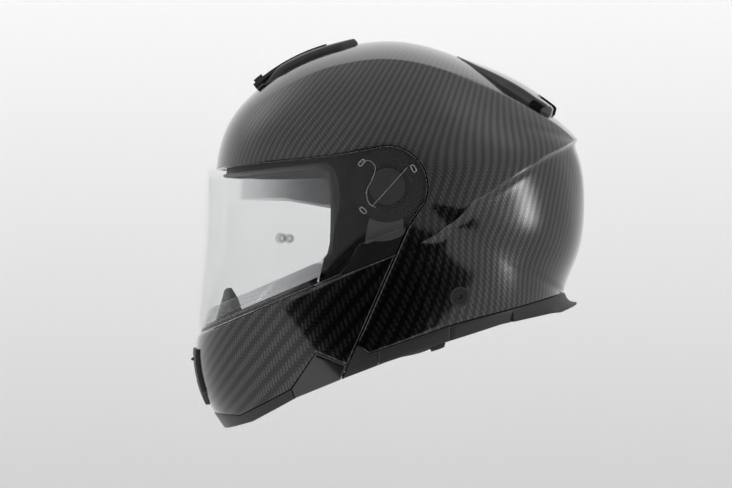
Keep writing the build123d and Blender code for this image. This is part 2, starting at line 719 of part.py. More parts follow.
def breath_guard():
    sheet = skin(-20.0, -22.2, side_prism([(-150, -80), (-100, -80), (-96, -101.8), (-150, -124.6)]))
    right = [(44, -128), (44, -107), (14, -87)]
    arch = front_prism(right + [(0, -83)] + [(-x, z) for x, z in reversed(right)], -FAR, -60)
    return sheet & arch


def chin_curtain():
    """Fabric wind curtain across the underside of the chin."""
    sheet = shell_form(-16.6) & side_prism([(-150, -191.5), (-84, -164.5), (-84, -167), (-150, -194)])
    return sheet - Solid.make_cylinder(66, 120, Plane(origin=(0, -44, -230)))


def latch_hook(side):
    """Catch lever on the chin bar, resting over its striker pin."""
    py, pz = HOOK_PIVOT
    outline = [(py - 5, pz + 5), (py + 6, pz + 6), (-80, -117.5), (-68, -119), (-66, -123), (-73, -125.2),
               (-80, -124.8), (py + 6, pz - 5), (py - 5, pz - 5)]
    hook = side_prism(outline, 82, 87) - side_disc(HOOK_PIN_R + RUNNING_CLEARANCE, 70, 120, HOOK_PIVOT)
    return mirrored(hook, side)


def latch_hook_pins():
    pin = side_disc(HOOK_PIN_R, 80, 98.8, HOOK_PIVOT) + side_disc(4.0, 79, 81.4, HOOK_PIVOT)
    return group(*(mirrored(pin, side) for side in SIDES.values()))


# ---------------------------------------------------------------- visor
def visor():
    tab_outline = [(-152, -117.6), (-171.5, -123.6), (-171.0, -126.0), (-152, -120.4)]
    tab = visor_form(9.5) & side_prism(tab_outline, -26, 26)
    body = (visor_form() & visor_region()) + tab - visor_form(-VISOR_WALL)
    for side in SIDES.values():
        body -= mirrored(bar(PIN_NECK_R + 0.1, 16, pin_plane(), -8), side)
    return max(body.solids(), key=lambda s: s.volume)


def pin_plane():
    return surface_plane(-86.6, -41.8, 177, (-1, 0.07), HALF_WIDTH + VISOR_PROUD)


def visor_pod(side):
    """Ring inside the visor that turns on the hub."""
    ring = side_ring(29.0, HUB_R + RUNNING_CLEARANCE, *POD_X) + side_ring(29.0, 18.0, *POD_RIM_X)
    return mirrored(ring, side)


def insert_pins():
    """Round pins for an anti-fog insert, one through each side of the visor."""
    head = (bar(4.4, 12, pin_plane(), -6) & visor_form(1.5)) - visor_form(0.02)
    neck = bar(PIN_NECK_R, 5.0, pin_plane(), -4.0)
    foot = bar(3.4, 1.5, pin_plane(), -4.4)
    pin = head + neck + foot
    return group(*(mirrored(pin, side) for side in SIDES.values()))


# ---------------------------------------------------------------- write the pieces
PIECES = {
    "outer_shell": outer_shell,
    "shell_lower_trim": shell_lower_trim,
    "nape_lip": nape_lip,
    "eye_port_gasket": eye_port_gasket,
    "impact_liner": impact_liner,
    "crown_pad": crown_pad,
    "neck_roll": neck_roll,
    "crown_vent_frame": crown_vent_frame,
    "crown_vent_slider": crown_vent_slider,
    "rear_fairing": rear_fairing,
    "base_plate_screws": base_plate_screws,
    "pivot_bolts": pivot_bolts,
    "strap_anchor_bezels": strap_anchor_bezels,
    "strap_anchor_bolts": strap_anchor_bolts,
    "buckle_body": buckle_body,
    "buckle_lever": buckle_lever,
    "buckle_pin": buckle_pin,
    "ratchet_strip": ratchet_strip,
    "latch_strikers": latch_strikers,
    "bracket_rivets": bracket_rivets,
    "sun_visor": sun_visor,
    "sun_visor_clips": sun_visor_clips,
    "sun_visor_lever": sun_visor_lever,
    "chin_bar_shell": chin_bar_shell,
    "arm_screws": arm_screws,
    "chin_lower_trim": chin_lower_trim,
    "chin_bar_gasket": chin_bar_gasket,
    "chin_liner": chin_liner,
    "chin_vent_frame": chin_vent_frame,
    "chin_vent_flap": chin_vent_flap,
    "breath_guard": breath_guard,
    "chin_curtain": chin_curtain,
    "latch_hook_pins": latch_hook_pins,
    "release_button": release_button,
    "visor": visor,
    "insert_pins": insert_pins,
}
PAIRS = {
    "cheek_pad": cheek_pad,
    "pivot_base_plate": pivot_base_plate,
    "chin_strap": chin_strap,
    "chin_bar_arm": chin_bar_arm,
    "chin_side_trim": chin_side_trim,
    "latch_hook": latch_hook,
    "visor_pod": visor_pod,
}


def main():
    os.makedirs("parts", exist_ok=True)
    for name, build in PIECES.items():
        export_step(build(), f"parts/{name}.step")
    for name, build in PAIRS.items():
        for label, side in SIDES.items():
            export_step(build(side), f"parts/{name}_{label}.step")


main()
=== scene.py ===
import json
import math

import bmesh
import bpy
import numpy as np
from mathutils import Matrix, Vector


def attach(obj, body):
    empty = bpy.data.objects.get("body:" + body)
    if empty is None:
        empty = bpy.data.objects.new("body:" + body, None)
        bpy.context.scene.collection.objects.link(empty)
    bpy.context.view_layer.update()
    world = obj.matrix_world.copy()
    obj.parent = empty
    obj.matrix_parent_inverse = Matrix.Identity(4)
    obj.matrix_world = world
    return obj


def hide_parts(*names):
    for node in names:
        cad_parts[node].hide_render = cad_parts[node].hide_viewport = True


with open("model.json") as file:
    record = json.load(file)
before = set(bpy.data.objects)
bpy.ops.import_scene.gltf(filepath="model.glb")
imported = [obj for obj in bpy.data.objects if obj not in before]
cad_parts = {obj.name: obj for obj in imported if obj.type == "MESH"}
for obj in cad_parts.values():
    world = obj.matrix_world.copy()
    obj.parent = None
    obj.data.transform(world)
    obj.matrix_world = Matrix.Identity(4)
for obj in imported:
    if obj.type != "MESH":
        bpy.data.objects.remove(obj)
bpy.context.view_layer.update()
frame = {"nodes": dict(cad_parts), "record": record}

# Looks of a flip-up carbon helmet. Side-view outlines are (y, z) in millimetres from the pivot axis: the
# helmet faces -Y, +Z is up and +X is the wearer's left. Meshes are written in metres.

MM = 0.001

# ------------------------------------------------------------------ driving sizes (mm)
ROUNDNESS = 2.2
HALF_WIDTH = 125.0
VISOR_PROUD = 2.9
SHUT_GAP = 0.9
EDGE_R = 1.2
SHELL_WALL = 4.0
VISOR_WALL = 2.0
INSERT_DEPTH = 2.1
INSERT_WALL = 0.5
PORT_R = 8.4
WEAVE_RADIUS = 140.0  # average radius of the shell, which turns chart angles into lengths of cloth
REST_SLOPE = math.tan(math.radians(19.5))
FAR = 215.0

SHELL_PROFILE = [
    (-145.2, 21), (-134, 58), (-106.5, 88.6), (-73.8, 109.8), (-35, 122.4), (5, 126.8), (46.6, 118.8),
    (81, 103.5), (115, 82), (143, 61), (161, 40), (170.4, -13), (164.4, -56), (154, -82), (148, -110),
    (130, -170), (70, -235), (-20, -262), (-100, -245), (-141, -200), (-154, -179), (-160.7, -159),
    (-163, -138), (-157, -105), (-150, -60), (-147, -15),
]
HEAD_PROFILE = [
    (-103, 20), (-94, 52), (-62, 76), (-5, 85), (50, 79), (92, 56), (116, 15), (118, -25), (106, -62),
    (92, -95), (88, -150), (0, -215), (-90, -190), (-108, -100), (-106, -30),
]
VISOR_PROFILE = [
    (-153.8, 8.3), (-157.2, -52), (-161.5, -112), (-160, -150), (-130, -215), (-30, -258), (90, -215),
    (150, -110), (172, -10), (150, 95), (60, 158), (-50, 160), (-138, 88),
]

# Side-view landmarks.
BROW_FRONT = (-149.5, 16.9)
BROW_SIDE = (-43.0, 26.0)
RECESS_R = 33.5
RECESS_LOW = (30.3, -14.3)
SEAM_TOP = (17.1, -33.7)
SEAM_BOTTOM = (-36.5, -157.5)
VISOR_CORNER = (-23.6, -49.1)
CHIN_TOP_SIDE = (-36.6, -71.9)
CHIN_TOP_FRONT = (-157.2, -123.2)
SIDE_TRIM_TOP = (-58.1, -135.5)
SIDE_TRIM_FRONT = (-78.8, -166.4)
SIDE_TRIM_FOOT = (-75.7, -174.4)
CHIN_FOOT = (-122.5, -190.3)
SHELL_FOOT = [(-14.7, -136.6), (49.8, -114.3), (145.6, -89.7), (FAR, -72.0)]
TRIM_FOOT = [(0.9, -143.0), (47.5, -127.6), (93.2, -113.4), (137.6, -103.4), (FAR, -90.0)]
RECESS_DEPTH = 9.0
BROW_LEDGE_DROP = 4.0
TRIM_JOINTS = (-7.2, 52.2)
PORT_CENTRE = (59.7, -90.0)
NAPE_FOOT = ([104, 137.6, 146, 160.5, 170], [-111, -104.4, -103.9, -98.8, -95.4])
SUN_R = 126.0
SUN_HALF_WIDTH = 110.4
EYE_PORT_REAR = [(-60, 17), (-48, 12), (-45, -2), (-44, -16), (-44.2, -30), (-44.6, -44), (-46.5, -53),
                 (-52, -60)]
BOTH_SIDES = (1, -1)


# ------------------------------------------------------------------ the helmet's form
def closed_curve(points, samples=240):
    """Dense points of the periodic cubic spline through side-view points."""
    p = np.array(points, float)
    n = len(p)
    h = np.linalg.norm(np.roll(p, -1, 0) - p, axis=1)
    rows, right = np.zeros((n, n)), np.zeros((n, 2))
    for i in range(n):
        before, after = h[i - 1], h[i]
        rows[i, i - 1] += after
        rows[i, i] += 2 * (before + after)
        rows[i, (i + 1) % n] += before
        right[i] = 3 * (after * (p[i] - p[i - 1]) / before + before * (p[(i + 1) % n] - p[i]) / after)
    slope = np.linalg.solve(rows, right)
    t = np.linspace(0, 1, samples, endpoint=False)[:, None]
    pieces = []
    for i in range(n):
        a, b, u, v = p[i], p[(i + 1) % n], slope[i] * h[i], slope[(i + 1) % n] * h[i]
        pieces.append(a + u * t + (3 * (b - a) - 2 * u - v) * t**2 + (2 * (a - b) + u + v) * t**3)
    return np.concatenate(pieces)


class Form:
    """A whole rounded form. Its section at any distance from the mid-plane is the side profile shrunk
    towards the pivot axis. A place on its left half is a chart point: an angle from the pivot's own
    direction out to the mid-plane, as a vector that points forward and up."""

    def __init__(self, profile, half_width):
        curve = closed_curve(profile)
        angle = np.arctan2(curve[:, 1], -curve[:, 0])
        order = np.argsort(angle)
        self.angles = angle[order]
        self.radii = np.hypot(curve[:, 0], curve[:, 1])[order]
        self.half_width = half_width

    def reach(self, angle):
        return np.interp(angle, self.angles, self.radii, period=2 * math.pi)

    def point(self, chart, depth=0.0):
        """Position in mm of chart points, at a depth below the surface."""
        chart = np.asarray(chart, float)
        far = np.clip(np.hypot(chart[..., 0], chart[..., 1]), 0, math.pi / 2)
        angle = np.arctan2(chart[..., 1], chart[..., 0])
        r = (self.reach(angle) - depth) * np.sin(far) ** (2 / ROUNDNESS)
        x = (self.half_width - depth) * np.maximum(np.cos(far), 0) ** (2 / ROUNDNESS)
        return np.stack([x, -r * np.cos(angle), r * np.sin(angle)], -1)

    def normal(self, chart):
        """Outward unit normals, from the gradient of the form's own equation."""
        p = self.point(chart)
        x, y, z = p[..., 0], p[..., 1], p[..., 2]
        angle = np.arctan2(z, -y)
        step = 1e-3
        reach = self.reach(angle)
        lean = (self.reach(angle + step) - self.reach(angle - step)) / (2 * step)
        r = np.maximum(np.hypot(y, z), 1e-6)
        share = np.minimum(r / reach, 1)
        along = share ** (ROUNDNESS - 1) / reach
        turn = -share ** (ROUNDNESS - 1) * lean / reach**2
        out = np.stack([-np.cos(angle), np.sin(angle)], -1)
        round_ = np.stack([np.sin(angle), np.cos(angle)], -1)
        yz = along[..., None] * out + turn[..., None] * round_
        nx = (np.clip(x, 0, None) / self.half_width) ** (ROUNDNESS - 1) / self.half_width
        n = np.concatenate([nx[..., None], yz], -1)
        return unit(n)

    def chart(self, points, depth=0.0):
        """Chart points of side-view points, and whether each lies inside the outline."""
        q = np.asarray(points, float)
        angle = np.arctan2(q[..., 1], -q[..., 0])
        share = np.hypot(q[..., 0], q[..., 1]) / (self.reach(angle) - depth)
        far = np.arcsin(np.clip(share, 0, 1) ** (ROUNDNESS / 2))
        return np.stack([far * np.cos(angle), far * np.sin(angle)], -1), share <= 1


shell_form = Form(SHELL_PROFILE, HALF_WIDTH)
visor_form = Form(VISOR_PROFILE, HALF_WIDTH + VISOR_PROUD)


# ------------------------------------------------------------------ curves on the form
def along(a, b, y):
    return a[1] + (b[1] - a[1]) * (y - a[0]) / (b[0] - a[0])


def seam_y(z):
    return SEAM_TOP[0] + (z - SEAM_TOP[1]) * (SEAM_BOTTOM[0] - SEAM_TOP[0]) / (SEAM_BOTTOM[1] - SEAM_TOP[1])


def seam_point(z):
    """Place on the chin bar's rear edge."""
    return (seam_y(z) - SHUT_GAP, z)


def chin_top_z(y):
    return along(CHIN_TOP_SIDE, CHIN_TOP_FRONT, y)


def brow_z(y):
    return along(BROW_FRONT, BROW_SIDE, y)


def rest_z(y):
    return -102.5 + (y - 150.0) * REST_SLOPE


def arc(radius, start, stop, steps=40):
    """Side-view points on a circle about the pivot; angles in degrees from forward, up and over."""
    angles = np.radians(np.linspace(start, stop, steps + 1))
    return [(-radius * math.cos(a), radius * math.sin(a)) for a in angles]


def shifted(outline, dy, dz):
    return [(y + dy, z + dz) for y, z in outline]


def dense(outline, step=0.4):
    """Side-view points close together along an open outline."""
    points = []
    for a, b in zip(outline[:-1], outline[1:]):
        n = max(int(math.dist(a, b) / step), 1)
        points += [(a[0] + (b[0] - a[0]) * i / n, a[1] + (b[1] - a[1]) * i / n) for i in range(n)]
    return np.array(points + [outline[-1]], float)


def trace(form, outline, count, depth=0.0):
    """Chart points evenly spaced along a side-view outline laid on the form, up to the mid-plane."""
    chart, inside = form.chart(dense(outline), depth)
    if not inside.all():
        stop = int(np.argmin(inside)) if inside[0] else 0
        chart = chart[: stop + 1]
        last = chart[-1]
        chart[-1] = last / np.linalg.norm(last) * (math.pi / 2)
    fine = np.concatenate([chart[:-1] + (chart[1:] - chart[:-1]) * k / 8 for k in range(8)])
    order = np.argsort(np.concatenate([np.arange(len(chart) - 1) + k / 8 for k in range(8)]))
    fine = np.concatenate([fine[order], chart[-1:]])
    run = run_along(form.point(fine, depth))
    want = np.linspace(0, run[-1], count)
    return np.stack([np.interp(want, run, fine[:, k]) for k in range(2)], -1)


def smoothstep(x):
    x = np.clip(x, 0, 1)
    return x * x * (3 - 2 * x)


def run_along(points):
    """Distance from the first point to each point of a path."""
    return np.concatenate([[0], np.cumsum(np.linalg.norm(np.diff(points, axis=0), axis=1))])


def spline(points, per=10):
    """Catmull-Rom curve through points."""
    points = np.array(points, float)
    p = np.array([2 * points[0] - points[1], *points, 2 * points[-1] - points[-2]])
    t = np.linspace(0, 1, per, endpoint=False)[:, None]
    out = []
    for i in range(1, len(p) - 2):
        a, b, c, d = p[i - 1], p[i], p[i + 1], p[i + 2]
        out.append(0.5 * (2 * b + (c - a) * t + (2 * a - 5 * b + 4 * c - d) * t**2
                          + (3 * b - a - 3 * c + d) * t**3))
    return np.concatenate(out + [p[-2:-1]])


def unit(vectors):
    return vectors / np.linalg.norm(vectors, axis=-1, keepdims=True)


def spread(low, high, count):
    """Numbers evenly between low and high, without the ends."""
    return low + (high - low) * np.arange(1, count + 1) / (count + 1)


def rounding(gap, radius):
    """How far a face falls away near a rounded edge, by its distance from the edge."""
    return radius - np.sqrt(np.maximum(radius**2 - np.maximum(radius - gap, 0) ** 2, 0))


def grid_faces(rows, columns):
    """Faces of two facing grids of points, the second numbered after the first."""
    index = np.arange(rows * columns).reshape(rows, columns)
    under = index + rows * columns
    faces = []
    for i in range(rows - 1):
        for j in range(columns - 1):
            faces.append((index[i, j], index[i, j + 1], index[i + 1, j + 1], index[i + 1, j]))
            faces.append((under[i, j], under[i + 1, j], under[i + 1, j + 1], under[i, j + 1]))
    return faces, index, under


EDGE_STEPS = np.array([0.0, 0.1, 0.3, 0.6, 1.0])
CREASE_STEPS = np.array([-5.0, -2.4, -1.0, -0.35, 0.35, 1.0, 2.0, 3.2, 5.0])


def patch(form, a, b, rows=8, wall=SHELL_WALL, depth=0.0, edge_a=True, edge_b=True, crease=None, relief=None,
          caps=(False, False), edge_r=EDGE_R, round_caps=False):
    """Closed plate between two chart curves with rounded edges. edge_a and edge_b say where each curve
    is a real edge rather than the mid-plane. crease gives one chart point per column that a row must
    follow. relief(chart) gives heights that are added to the outer face. Returns vertices in mm, faces
    and chart points."""
    count = len(a)
    edge_a = np.broadcast_to(edge_a, count)
    edge_b = np.broadcast_to(edge_b, count)
    t = np.linspace(0, 1, 97)
    grid, drops = [], []
    heads = form.point(a, depth), form.point(b, depth)
    for i in range(count):
        column = a[i] + (b[i] - a[i]) * t[:, None]
        points = form.point(column, depth)
        run = run_along(points)
        length = max(run[-1], 1e-6)
        lean = []
        for head, k0, k1 in ((heads[0], 0, 1), (heads[1], -1, -2)):
            edge = head[min(i + 1, count - 1)] - head[max(i - 1, 0)]
            cross = points[k1] - points[k0]
            size = np.linalg.norm(edge) * np.linalg.norm(cross)
            lean.append(max(np.linalg.norm(np.cross(edge, cross)) / size, 0.22) if size > 1e-9 else 1.0)
        room = min(1.0, 0.4 * length * min(lean) / EDGE_STEPS[-1])
        near = EDGE_STEPS * edge_r * room / lean[0]
        far = length - EDGE_STEPS[::-1] * edge_r * room / lean[1]
        if crease is None:
            places = np.concatenate([near, spread(near[-1], far[0], rows), far])
        else:
            hit = np.linalg.norm(crease[i] - a[i]) / max(np.linalg.norm(b[i] - a[i]), 1e-9)
            middle = np.interp(np.clip(hit, 0, 1), t, run)
            narrow = np.clip(min(middle - near[-1], far[0] - middle) / 7.0, 0.02, 1.0)
            around = middle + CREASE_STEPS * narrow
            places = np.concatenate([near, spread(near[-1], around[0], rows), around,
                                     spread(around[-1], far[0], rows), far])
        share = np.interp(places, run, t)
        grid.append(a[i] + (b[i] - a[i]) * share[:, None])
        gap_a = np.where(edge_a[i], places * lean[0], 99.0)
        gap_b = np.where(edge_b[i], (length - places) * lean[1], 99.0)
        r = edge_r * room
        drops.append(np.maximum(rounding(gap_a, r), rounding(gap_b, r)))
    chart = np.array(grid)
    normal = form.normal(chart)
    height = -np.array(drops)
    if round_caps:
        flat = form.point(chart, depth)
        for end, flag in ((0, caps[0]), (-1, caps[1])):
            gap = np.linalg.norm(flat - flat[end][None], axis=-1) if flag else np.full(height.shape, 99.0)
            height = np.minimum(height, -rounding(gap, edge_r))
    if relief is not None:
        height = height + relief(chart)
    outer = form.point(chart, depth) + normal * height[..., None]
    inner = form.point(chart, depth + wall)
    if relief is not None:
        inner = inner + normal * (relief(chart) * 0.9)[..., None]
    nu, nw = chart.shape[:2]
    vertices = np.concatenate([outer.reshape(-1, 3), inner.reshape(-1, 3)])
    charts = np.concatenate([chart.reshape(-1, 2)] * 2)
    faces, index, under = grid_faces(nu, nw)
    for i in range(nu - 1):
        if edge_a[i]:
            faces.append((index[i, 0], index[i + 1, 0], under[i + 1, 0], under[i, 0]))
        if edge_b[i] and edge_b[i + 1]:
            faces.append((index[i, -1], under[i, -1], under[i + 1, -1], index[i + 1, -1]))
    for flag, i, turn in ((caps[0], 0, 1), (caps[1], nu - 1, -1)):
        if flag:
            for j in range(nw - 1):
                face = (index[i, j], under[i, j], under[i, j + 1], index[i, j + 1])
                faces.append(face[::turn])
    return vertices, faces, charts


# ------------------------------------------------------------------ meshes
def new_object(name, vertices, faces, body, material, replaces=(), charts=None, weave_turn=0.0,
               sides=(1,), smooth=40.0):
    """Makes a mesh from vertices in mm, with its mirror image when both sides are asked for."""
    sheets, sheet_faces = [], []
    for k, side in enumerate(sides):
        v = np.array(vertices, float)
        v[:, 0] *= side
        sheets.append(v)
        offset = k * len(v)
        turn = 1 if side > 0 else -1
        sheet_faces += [tuple(offset + n for n in face)[::turn] for face in faces]
    mesh = bpy.data.meshes.new(name)
    mesh.from_pydata((np.concatenate(sheets) * MM).tolist(), [], sheet_faces)
    if charts is not None:
        c, s = math.cos(weave_turn), math.sin(weave_turn)
        flat = np.concatenate([charts] * len(sides)) * WEAVE_RADIUS
        flat = np.stack([flat[:, 0] * c - flat[:, 1] * s, flat[:, 0] * s + flat[:, 1] * c], -1)
        layer = mesh.uv_layers.new(name="cloth")
        loops = np.array([loop.vertex_index for loop in mesh.loops])
        layer.data.foreach_set("uv", flat[loops].astype(np.float32).ravel())
    bm = bmesh.new()
    bm.from_mesh(mesh)
    bmesh.ops.remove_doubles(bm, verts=bm.verts, dist=2e-5)
    bmesh.ops.dissolve_degenerate(bm, edges=bm.edges, dist=1e-6)
    bmesh.ops.recalc_face_normals(bm, faces=bm.faces)
    bm.to_mesh(mesh)
    bm.free()
    mesh.shade_smooth()
    mesh.set_sharp_from_angle(angle=math.radians(smooth))
    obj = bpy.data.objects.new(name, mesh)
    bpy.context.scene.collection.objects.link(obj)
    mesh.materials.append(material)
    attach(obj, body)
    if replaces:
        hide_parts(*replaces)
    return obj


# ------------------------------------------------------------------ material helpers
class Nodes:
    """Short names for building one material's node tree."""

    def __init__(self, name):
        self.material = bpy.data.materials.new(name)
        self.material.use_nodes = True
        self.tree = self.material.node_tree
        self.tree.nodes.clear()
        self.out = self.tree.nodes.new("ShaderNodeOutputMaterial")

    def add(self, kind, inputs=None, **settings):
        node = self.tree.nodes.new(kind)
        for key, value in settings.items():
            setattr(node, key, value)
        for key, value in (inputs or {}).items():
            self.set(node, key, value)
        return node

    def set(self, node, key, value):
        socket = node.inputs[key]
        if isinstance(value, bpy.types.NodeSocket):
            self.tree.links.new(value, socket)
        elif isinstance(value, bpy.types.Node):
            self.tree.links.new(value.outputs[0], socket)
        else:
            socket.default_value = value

    def math(self, operation, a, b=0.0, c=0.0):
        node = self.add("ShaderNodeMath", operation=operation)
        for i, value in enumerate((a, b, c)):
            if i < len(node.inputs):
                self.set(node, i, value)
        return node.outputs[0]

    def blend(self, factor, a, b):
        """Number between a and b."""
        return self.add("ShaderNodeMix", {0: factor, 2: a, 3: b}, data_type="FLOAT").outputs[0]

    def mix(self, factor, a, b):
        """Colour between a and b."""
        return self.add("ShaderNodeMix", {0: factor, 6: a, 7: b}, data_type="RGBA").outputs[2]

    def noise(self, scale, detail=3.0, roughness=0.5, vector=None):
        node = self.add("ShaderNodeTexNoise", {"Scale": scale, "Detail": detail, "Roughness": roughness})
        self.set(node, "Vector", vector or self.place())
        return node.outputs[0]

    def place(self):
        return self.add("ShaderNodeTexCoord").outputs["Object"]

    def bump(self, height, distance, strength=1.0):
        node = self.add("ShaderNodeBump", {"Strength": strength, "Distance": distance, "Height": height})
        return node.outputs[0]

    def surface(self, **inputs):
        names = {key.replace("_", " "): value for key, value in inputs.items()}
        shader = self.add("ShaderNodeBsdfPrincipled", names)
        self.tree.links.new(shader.outputs[0], self.out.inputs[0])
        return shader


def grey(value, tint=0.0):
    return (value, value, value * (1 + tint), 1.0)


def rounded_tow(n, place):
    """Height across a tow, 0 at its edges and 1 in its middle."""
    across = n.math("SUBTRACT", n.math("FRACT", place), 0.5)
    return n.math("SUBTRACT", 1.0, n.math("MULTIPLY", n.math("MULTIPLY", across, across), 4.0))


def carbon():
    """Two-by-two twill of 2 mm tows under a deep clear coat, with the tows' sheen painted into their colour.
    """
    n = Nodes("carbon_twill")
    tow = 2.0
    uv = n.add("ShaderNodeUVMap", uv_map="cloth").outputs[0]
    split = n.add("ShaderNodeSeparateXYZ", {0: uv})
    u = n.math("DIVIDE", split.outputs[0], tow)
    v = n.math("DIVIDE", split.outputs[1], tow)
    column, row = n.math("FLOOR", u), n.math("FLOOR", v)
    step = n.math("MODULO", n.math("ADD", n.math("ADD", column, row), 4000.0), 4.0)
    warp = n.math("LESS_THAN", step, 1.5)
    round_warp, round_weft = [rounded_tow(n, place) for place in (u, v)]
    crown = n.blend(warp, round_weft, round_warp)
    fibre_u, fibre_v = [n.math("SINE", n.math("MULTIPLY", split.outputs[k], 62.0)) for k in (0, 1)]
    fibre = n.blend(warp, fibre_v, fibre_u)
    lift = n.math("ADD", n.math("MULTIPLY", crown, 0.10), n.math("MULTIPLY", fibre, 0.008))
    shade = n.noise(38.0, 2.0)
    # Painted sheen: warp tows are painted lighter than weft tows, and each tow's crown lighter than its
    # edges, standing in for the fibres' sheen and the shade between tows.
    dark = n.mix(shade, grey(0.004), grey(0.007))
    light = n.mix(shade, grey(0.060, 0.04), grey(0.088, 0.04))
    tone = n.mix(n.math("MULTIPLY", crown, n.math("ADD", n.math("MULTIPLY", warp, 0.75), 0.25)), dark, light)
    normal = n.bump(lift, 0.5 * MM, 0.35)
    haze = n.noise(9.0, 4.0)
    n.surface(
        Base_Color=tone, Metallic=0.9, Roughness=n.math("ADD", 0.15, n.math("MULTIPLY", haze, 0.05)),
        Normal=normal, Coat_Weight=1.0, Coat_Roughness=n.math("MULTIPLY", haze, 0.035), Coat_IOR=1.5,
    )
    return n.material


def plastic(name, value, roughness, grain=0.0, coat=0.0, shine=0.5):
    """Moulded plastic: slight colour drift, uneven gloss and a fine spark-eroded grain."""
    n = Nodes(name)
    drift = n.noise(14.0, 3.0)
    colour = n.mix(drift, grey(value * 0.82), grey(value * 1.2))
    smudge = n.noise(45.0, 5.0, 0.6)
    rough = n.math("ADD", roughness - 0.04, n.math("MULTIPLY", smudge, 0.1))
    inputs = {"Base_Color": colour, "Roughness": rough, "Coat_Weight": coat, "Coat_Roughness": 0.04,
              "Specular_IOR_Level": shine}
    if grain:
        inputs["Normal"] = n.bump(n.noise(900.0, 2.0), grain * MM, 0.7)
    n.surface(**inputs)
    return n.material


def rubber():
    n = Nodes("soft_rubber")
    drift = n.noise(30.0, 4.0)
    colour = n.mix(drift, grey(0.012), grey(0.026))
    normal = n.bump(n.noise(1400.0, 3.0), 0.05 * MM, 0.5)
    n.surface(Base_Color=colour, Roughness=0.62, Normal=normal, Sheen_Weight=0.15)
    return n.material


def metal(name, value, roughness):
    n = Nodes(name)
    brushed = n.add("ShaderNodeMapping", {"Vector": n.place(), "Scale": (40.0, 1500.0, 1500.0)})
    lines = n.noise(1.0, 3.0, 0.6, brushed.outputs[0])
    rough = n.math("ADD", roughness, n.math("MULTIPLY", lines, 0.05))
    colour = n.mix(lines, grey(value * 0.85), grey(value))
    n.surface(Base_Color=colour, Metallic=1.0, Roughness=rough, Normal=n.bump(lines, 0.02 * MM, 0.4))
    return n.material


def clear(name, tint, gloss_rough=0.0, front=None, mirror=0.03):
    """Thin clear sheet: light goes straight through, and the outside reflects more towards grazing angles.
    A front tint makes the sheet lighter towards the face opening."""
    n = Nodes(name)
    smear = n.noise(22.0, 4.0)
    tone = n.mix(smear, tint, (*[value * 0.98 for value in tint[:3]], 1))
    if front:
        y = n.add("ShaderNodeSeparateXYZ", {0: n.place()}).outputs[1]
        share = n.add("ShaderNodeMapRange", {0: y, 1: -0.128, 2: -0.050}, interpolation_type="SMOOTHSTEP")
        tone = n.mix(share, front, tone)
    through = n.add("ShaderNodeBsdfTransparent", {"Color": tone})
    shine = n.add("ShaderNodeBsdfGlossy", {"Color": (1, 1, 1, 1), "Roughness": gloss_rough})
    facing = n.add("ShaderNodeLayerWeight", {"Blend": 0.5}).outputs["Facing"]
    grazing = n.math("ADD", mirror, n.math("MULTIPLY", n.math("POWER", facing, 5.0), 0.9))
    outside = n.math("SUBTRACT", 1.0, n.add("ShaderNodeNewGeometry").outputs["Backfacing"])
    reflected = n.math("MULTIPLY", grazing, outside)
    both = n.add("ShaderNodeMixShader", {0: reflected, 1: through.outputs[0], 2: shine.outputs[0]})
    n.tree.links.new(both.outputs[0], n.out.inputs[0])
    return n.material


def painted_glow_edge():
    """Cut edge of a clear sheet, painted light grey for the glow of the light it carries."""
    n = Nodes("painted_glow_edge")
    drift = n.noise(60.0, 3.0)
    n.surface(Base_Color=n.mix(drift, grey(0.30), grey(0.55)), Roughness=0.12, Coat_Weight=1.0, Alpha=0.72)
    return n.material


def lining():
    """Knitted lining: interlocked loops over a soft mottled colour."""
    n = Nodes("lining_knit")
    split = n.add("ShaderNodeSeparateXYZ", {0: n.place()})
    loops = None
    for axis in range(3):
        wave = n.math("SINE", n.math("MULTIPLY", split.outputs[axis], 2340.0))
        loops = wave if loops is None else n.math("MULTIPLY", loops, n.math("ADD", wave, 1.6))
    colour = n.mix(n.noise(60.0, 5.0, 0.6), grey(0.020), grey(0.045))
    normal = n.bump(n.math("ADD", loops, n.noise(900.0, 2.0)), 0.25 * MM, 0.6)
    n.surface(Base_Color=colour, Roughness=0.92, Normal=normal, Sheen_Weight=0.4, Sheen_Roughness=0.4)
    return n.material


def foam():
    """Expanded beads pressed together."""
    n = Nodes("expanded_foam")
    cells = n.add("ShaderNodeTexVoronoi", {"Scale": 330.0, "Vector": n.place()})
    colour = n.mix(cells.outputs[0], grey(0.030), grey(0.075))
    normal = n.bump(cells.outputs[0], 0.5 * MM, 0.8)
    n.surface(Base_Color=colour, Roughness=0.8, Normal=normal)
    return n.material


def webbing():
    """Woven strap with ribs across its length."""
    n = Nodes("strap_webbing")
    ribs = n.add("ShaderNodeTexWave", {"Scale": 420.0, "Distortion": 0.6, "Vector": n.place()})
    ribs.bands_direction = "DIAGONAL"
    colour = n.mix(ribs.outputs[0], grey(0.008), grey(0.035))
    normal = n.bump(ribs.outputs[0], 0.35 * MM, 0.8)
    n.surface(Base_Color=colour, Roughness=0.85, Normal=normal, Sheen_Weight=0.3)
    return n.material


CARBON = carbon()
GLOSS = plastic("gloss_black", 0.012, 0.12, coat=1.0)
MATTE = plastic("matte_black", 0.030, 0.52, grain=0.06)
SATIN = plastic("satin_black", 0.022, 0.34, grain=0.03)
RECESS = plastic("recess_black", 0.007, 0.42, grain=0.02, shine=0.12)
GREY = plastic("mechanism_grey", 0.012, 0.40, shine=0.12)
RUBBER = rubber()
STEEL = metal("brushed_steel", 0.55, 0.24)
DARK_STEEL = metal("black_oxide", 0.06, 0.34)
CLEAR = clear("clear_visor", (0.993, 0.996, 0.996, 1))
VISOR_EDGE = painted_glow_edge()
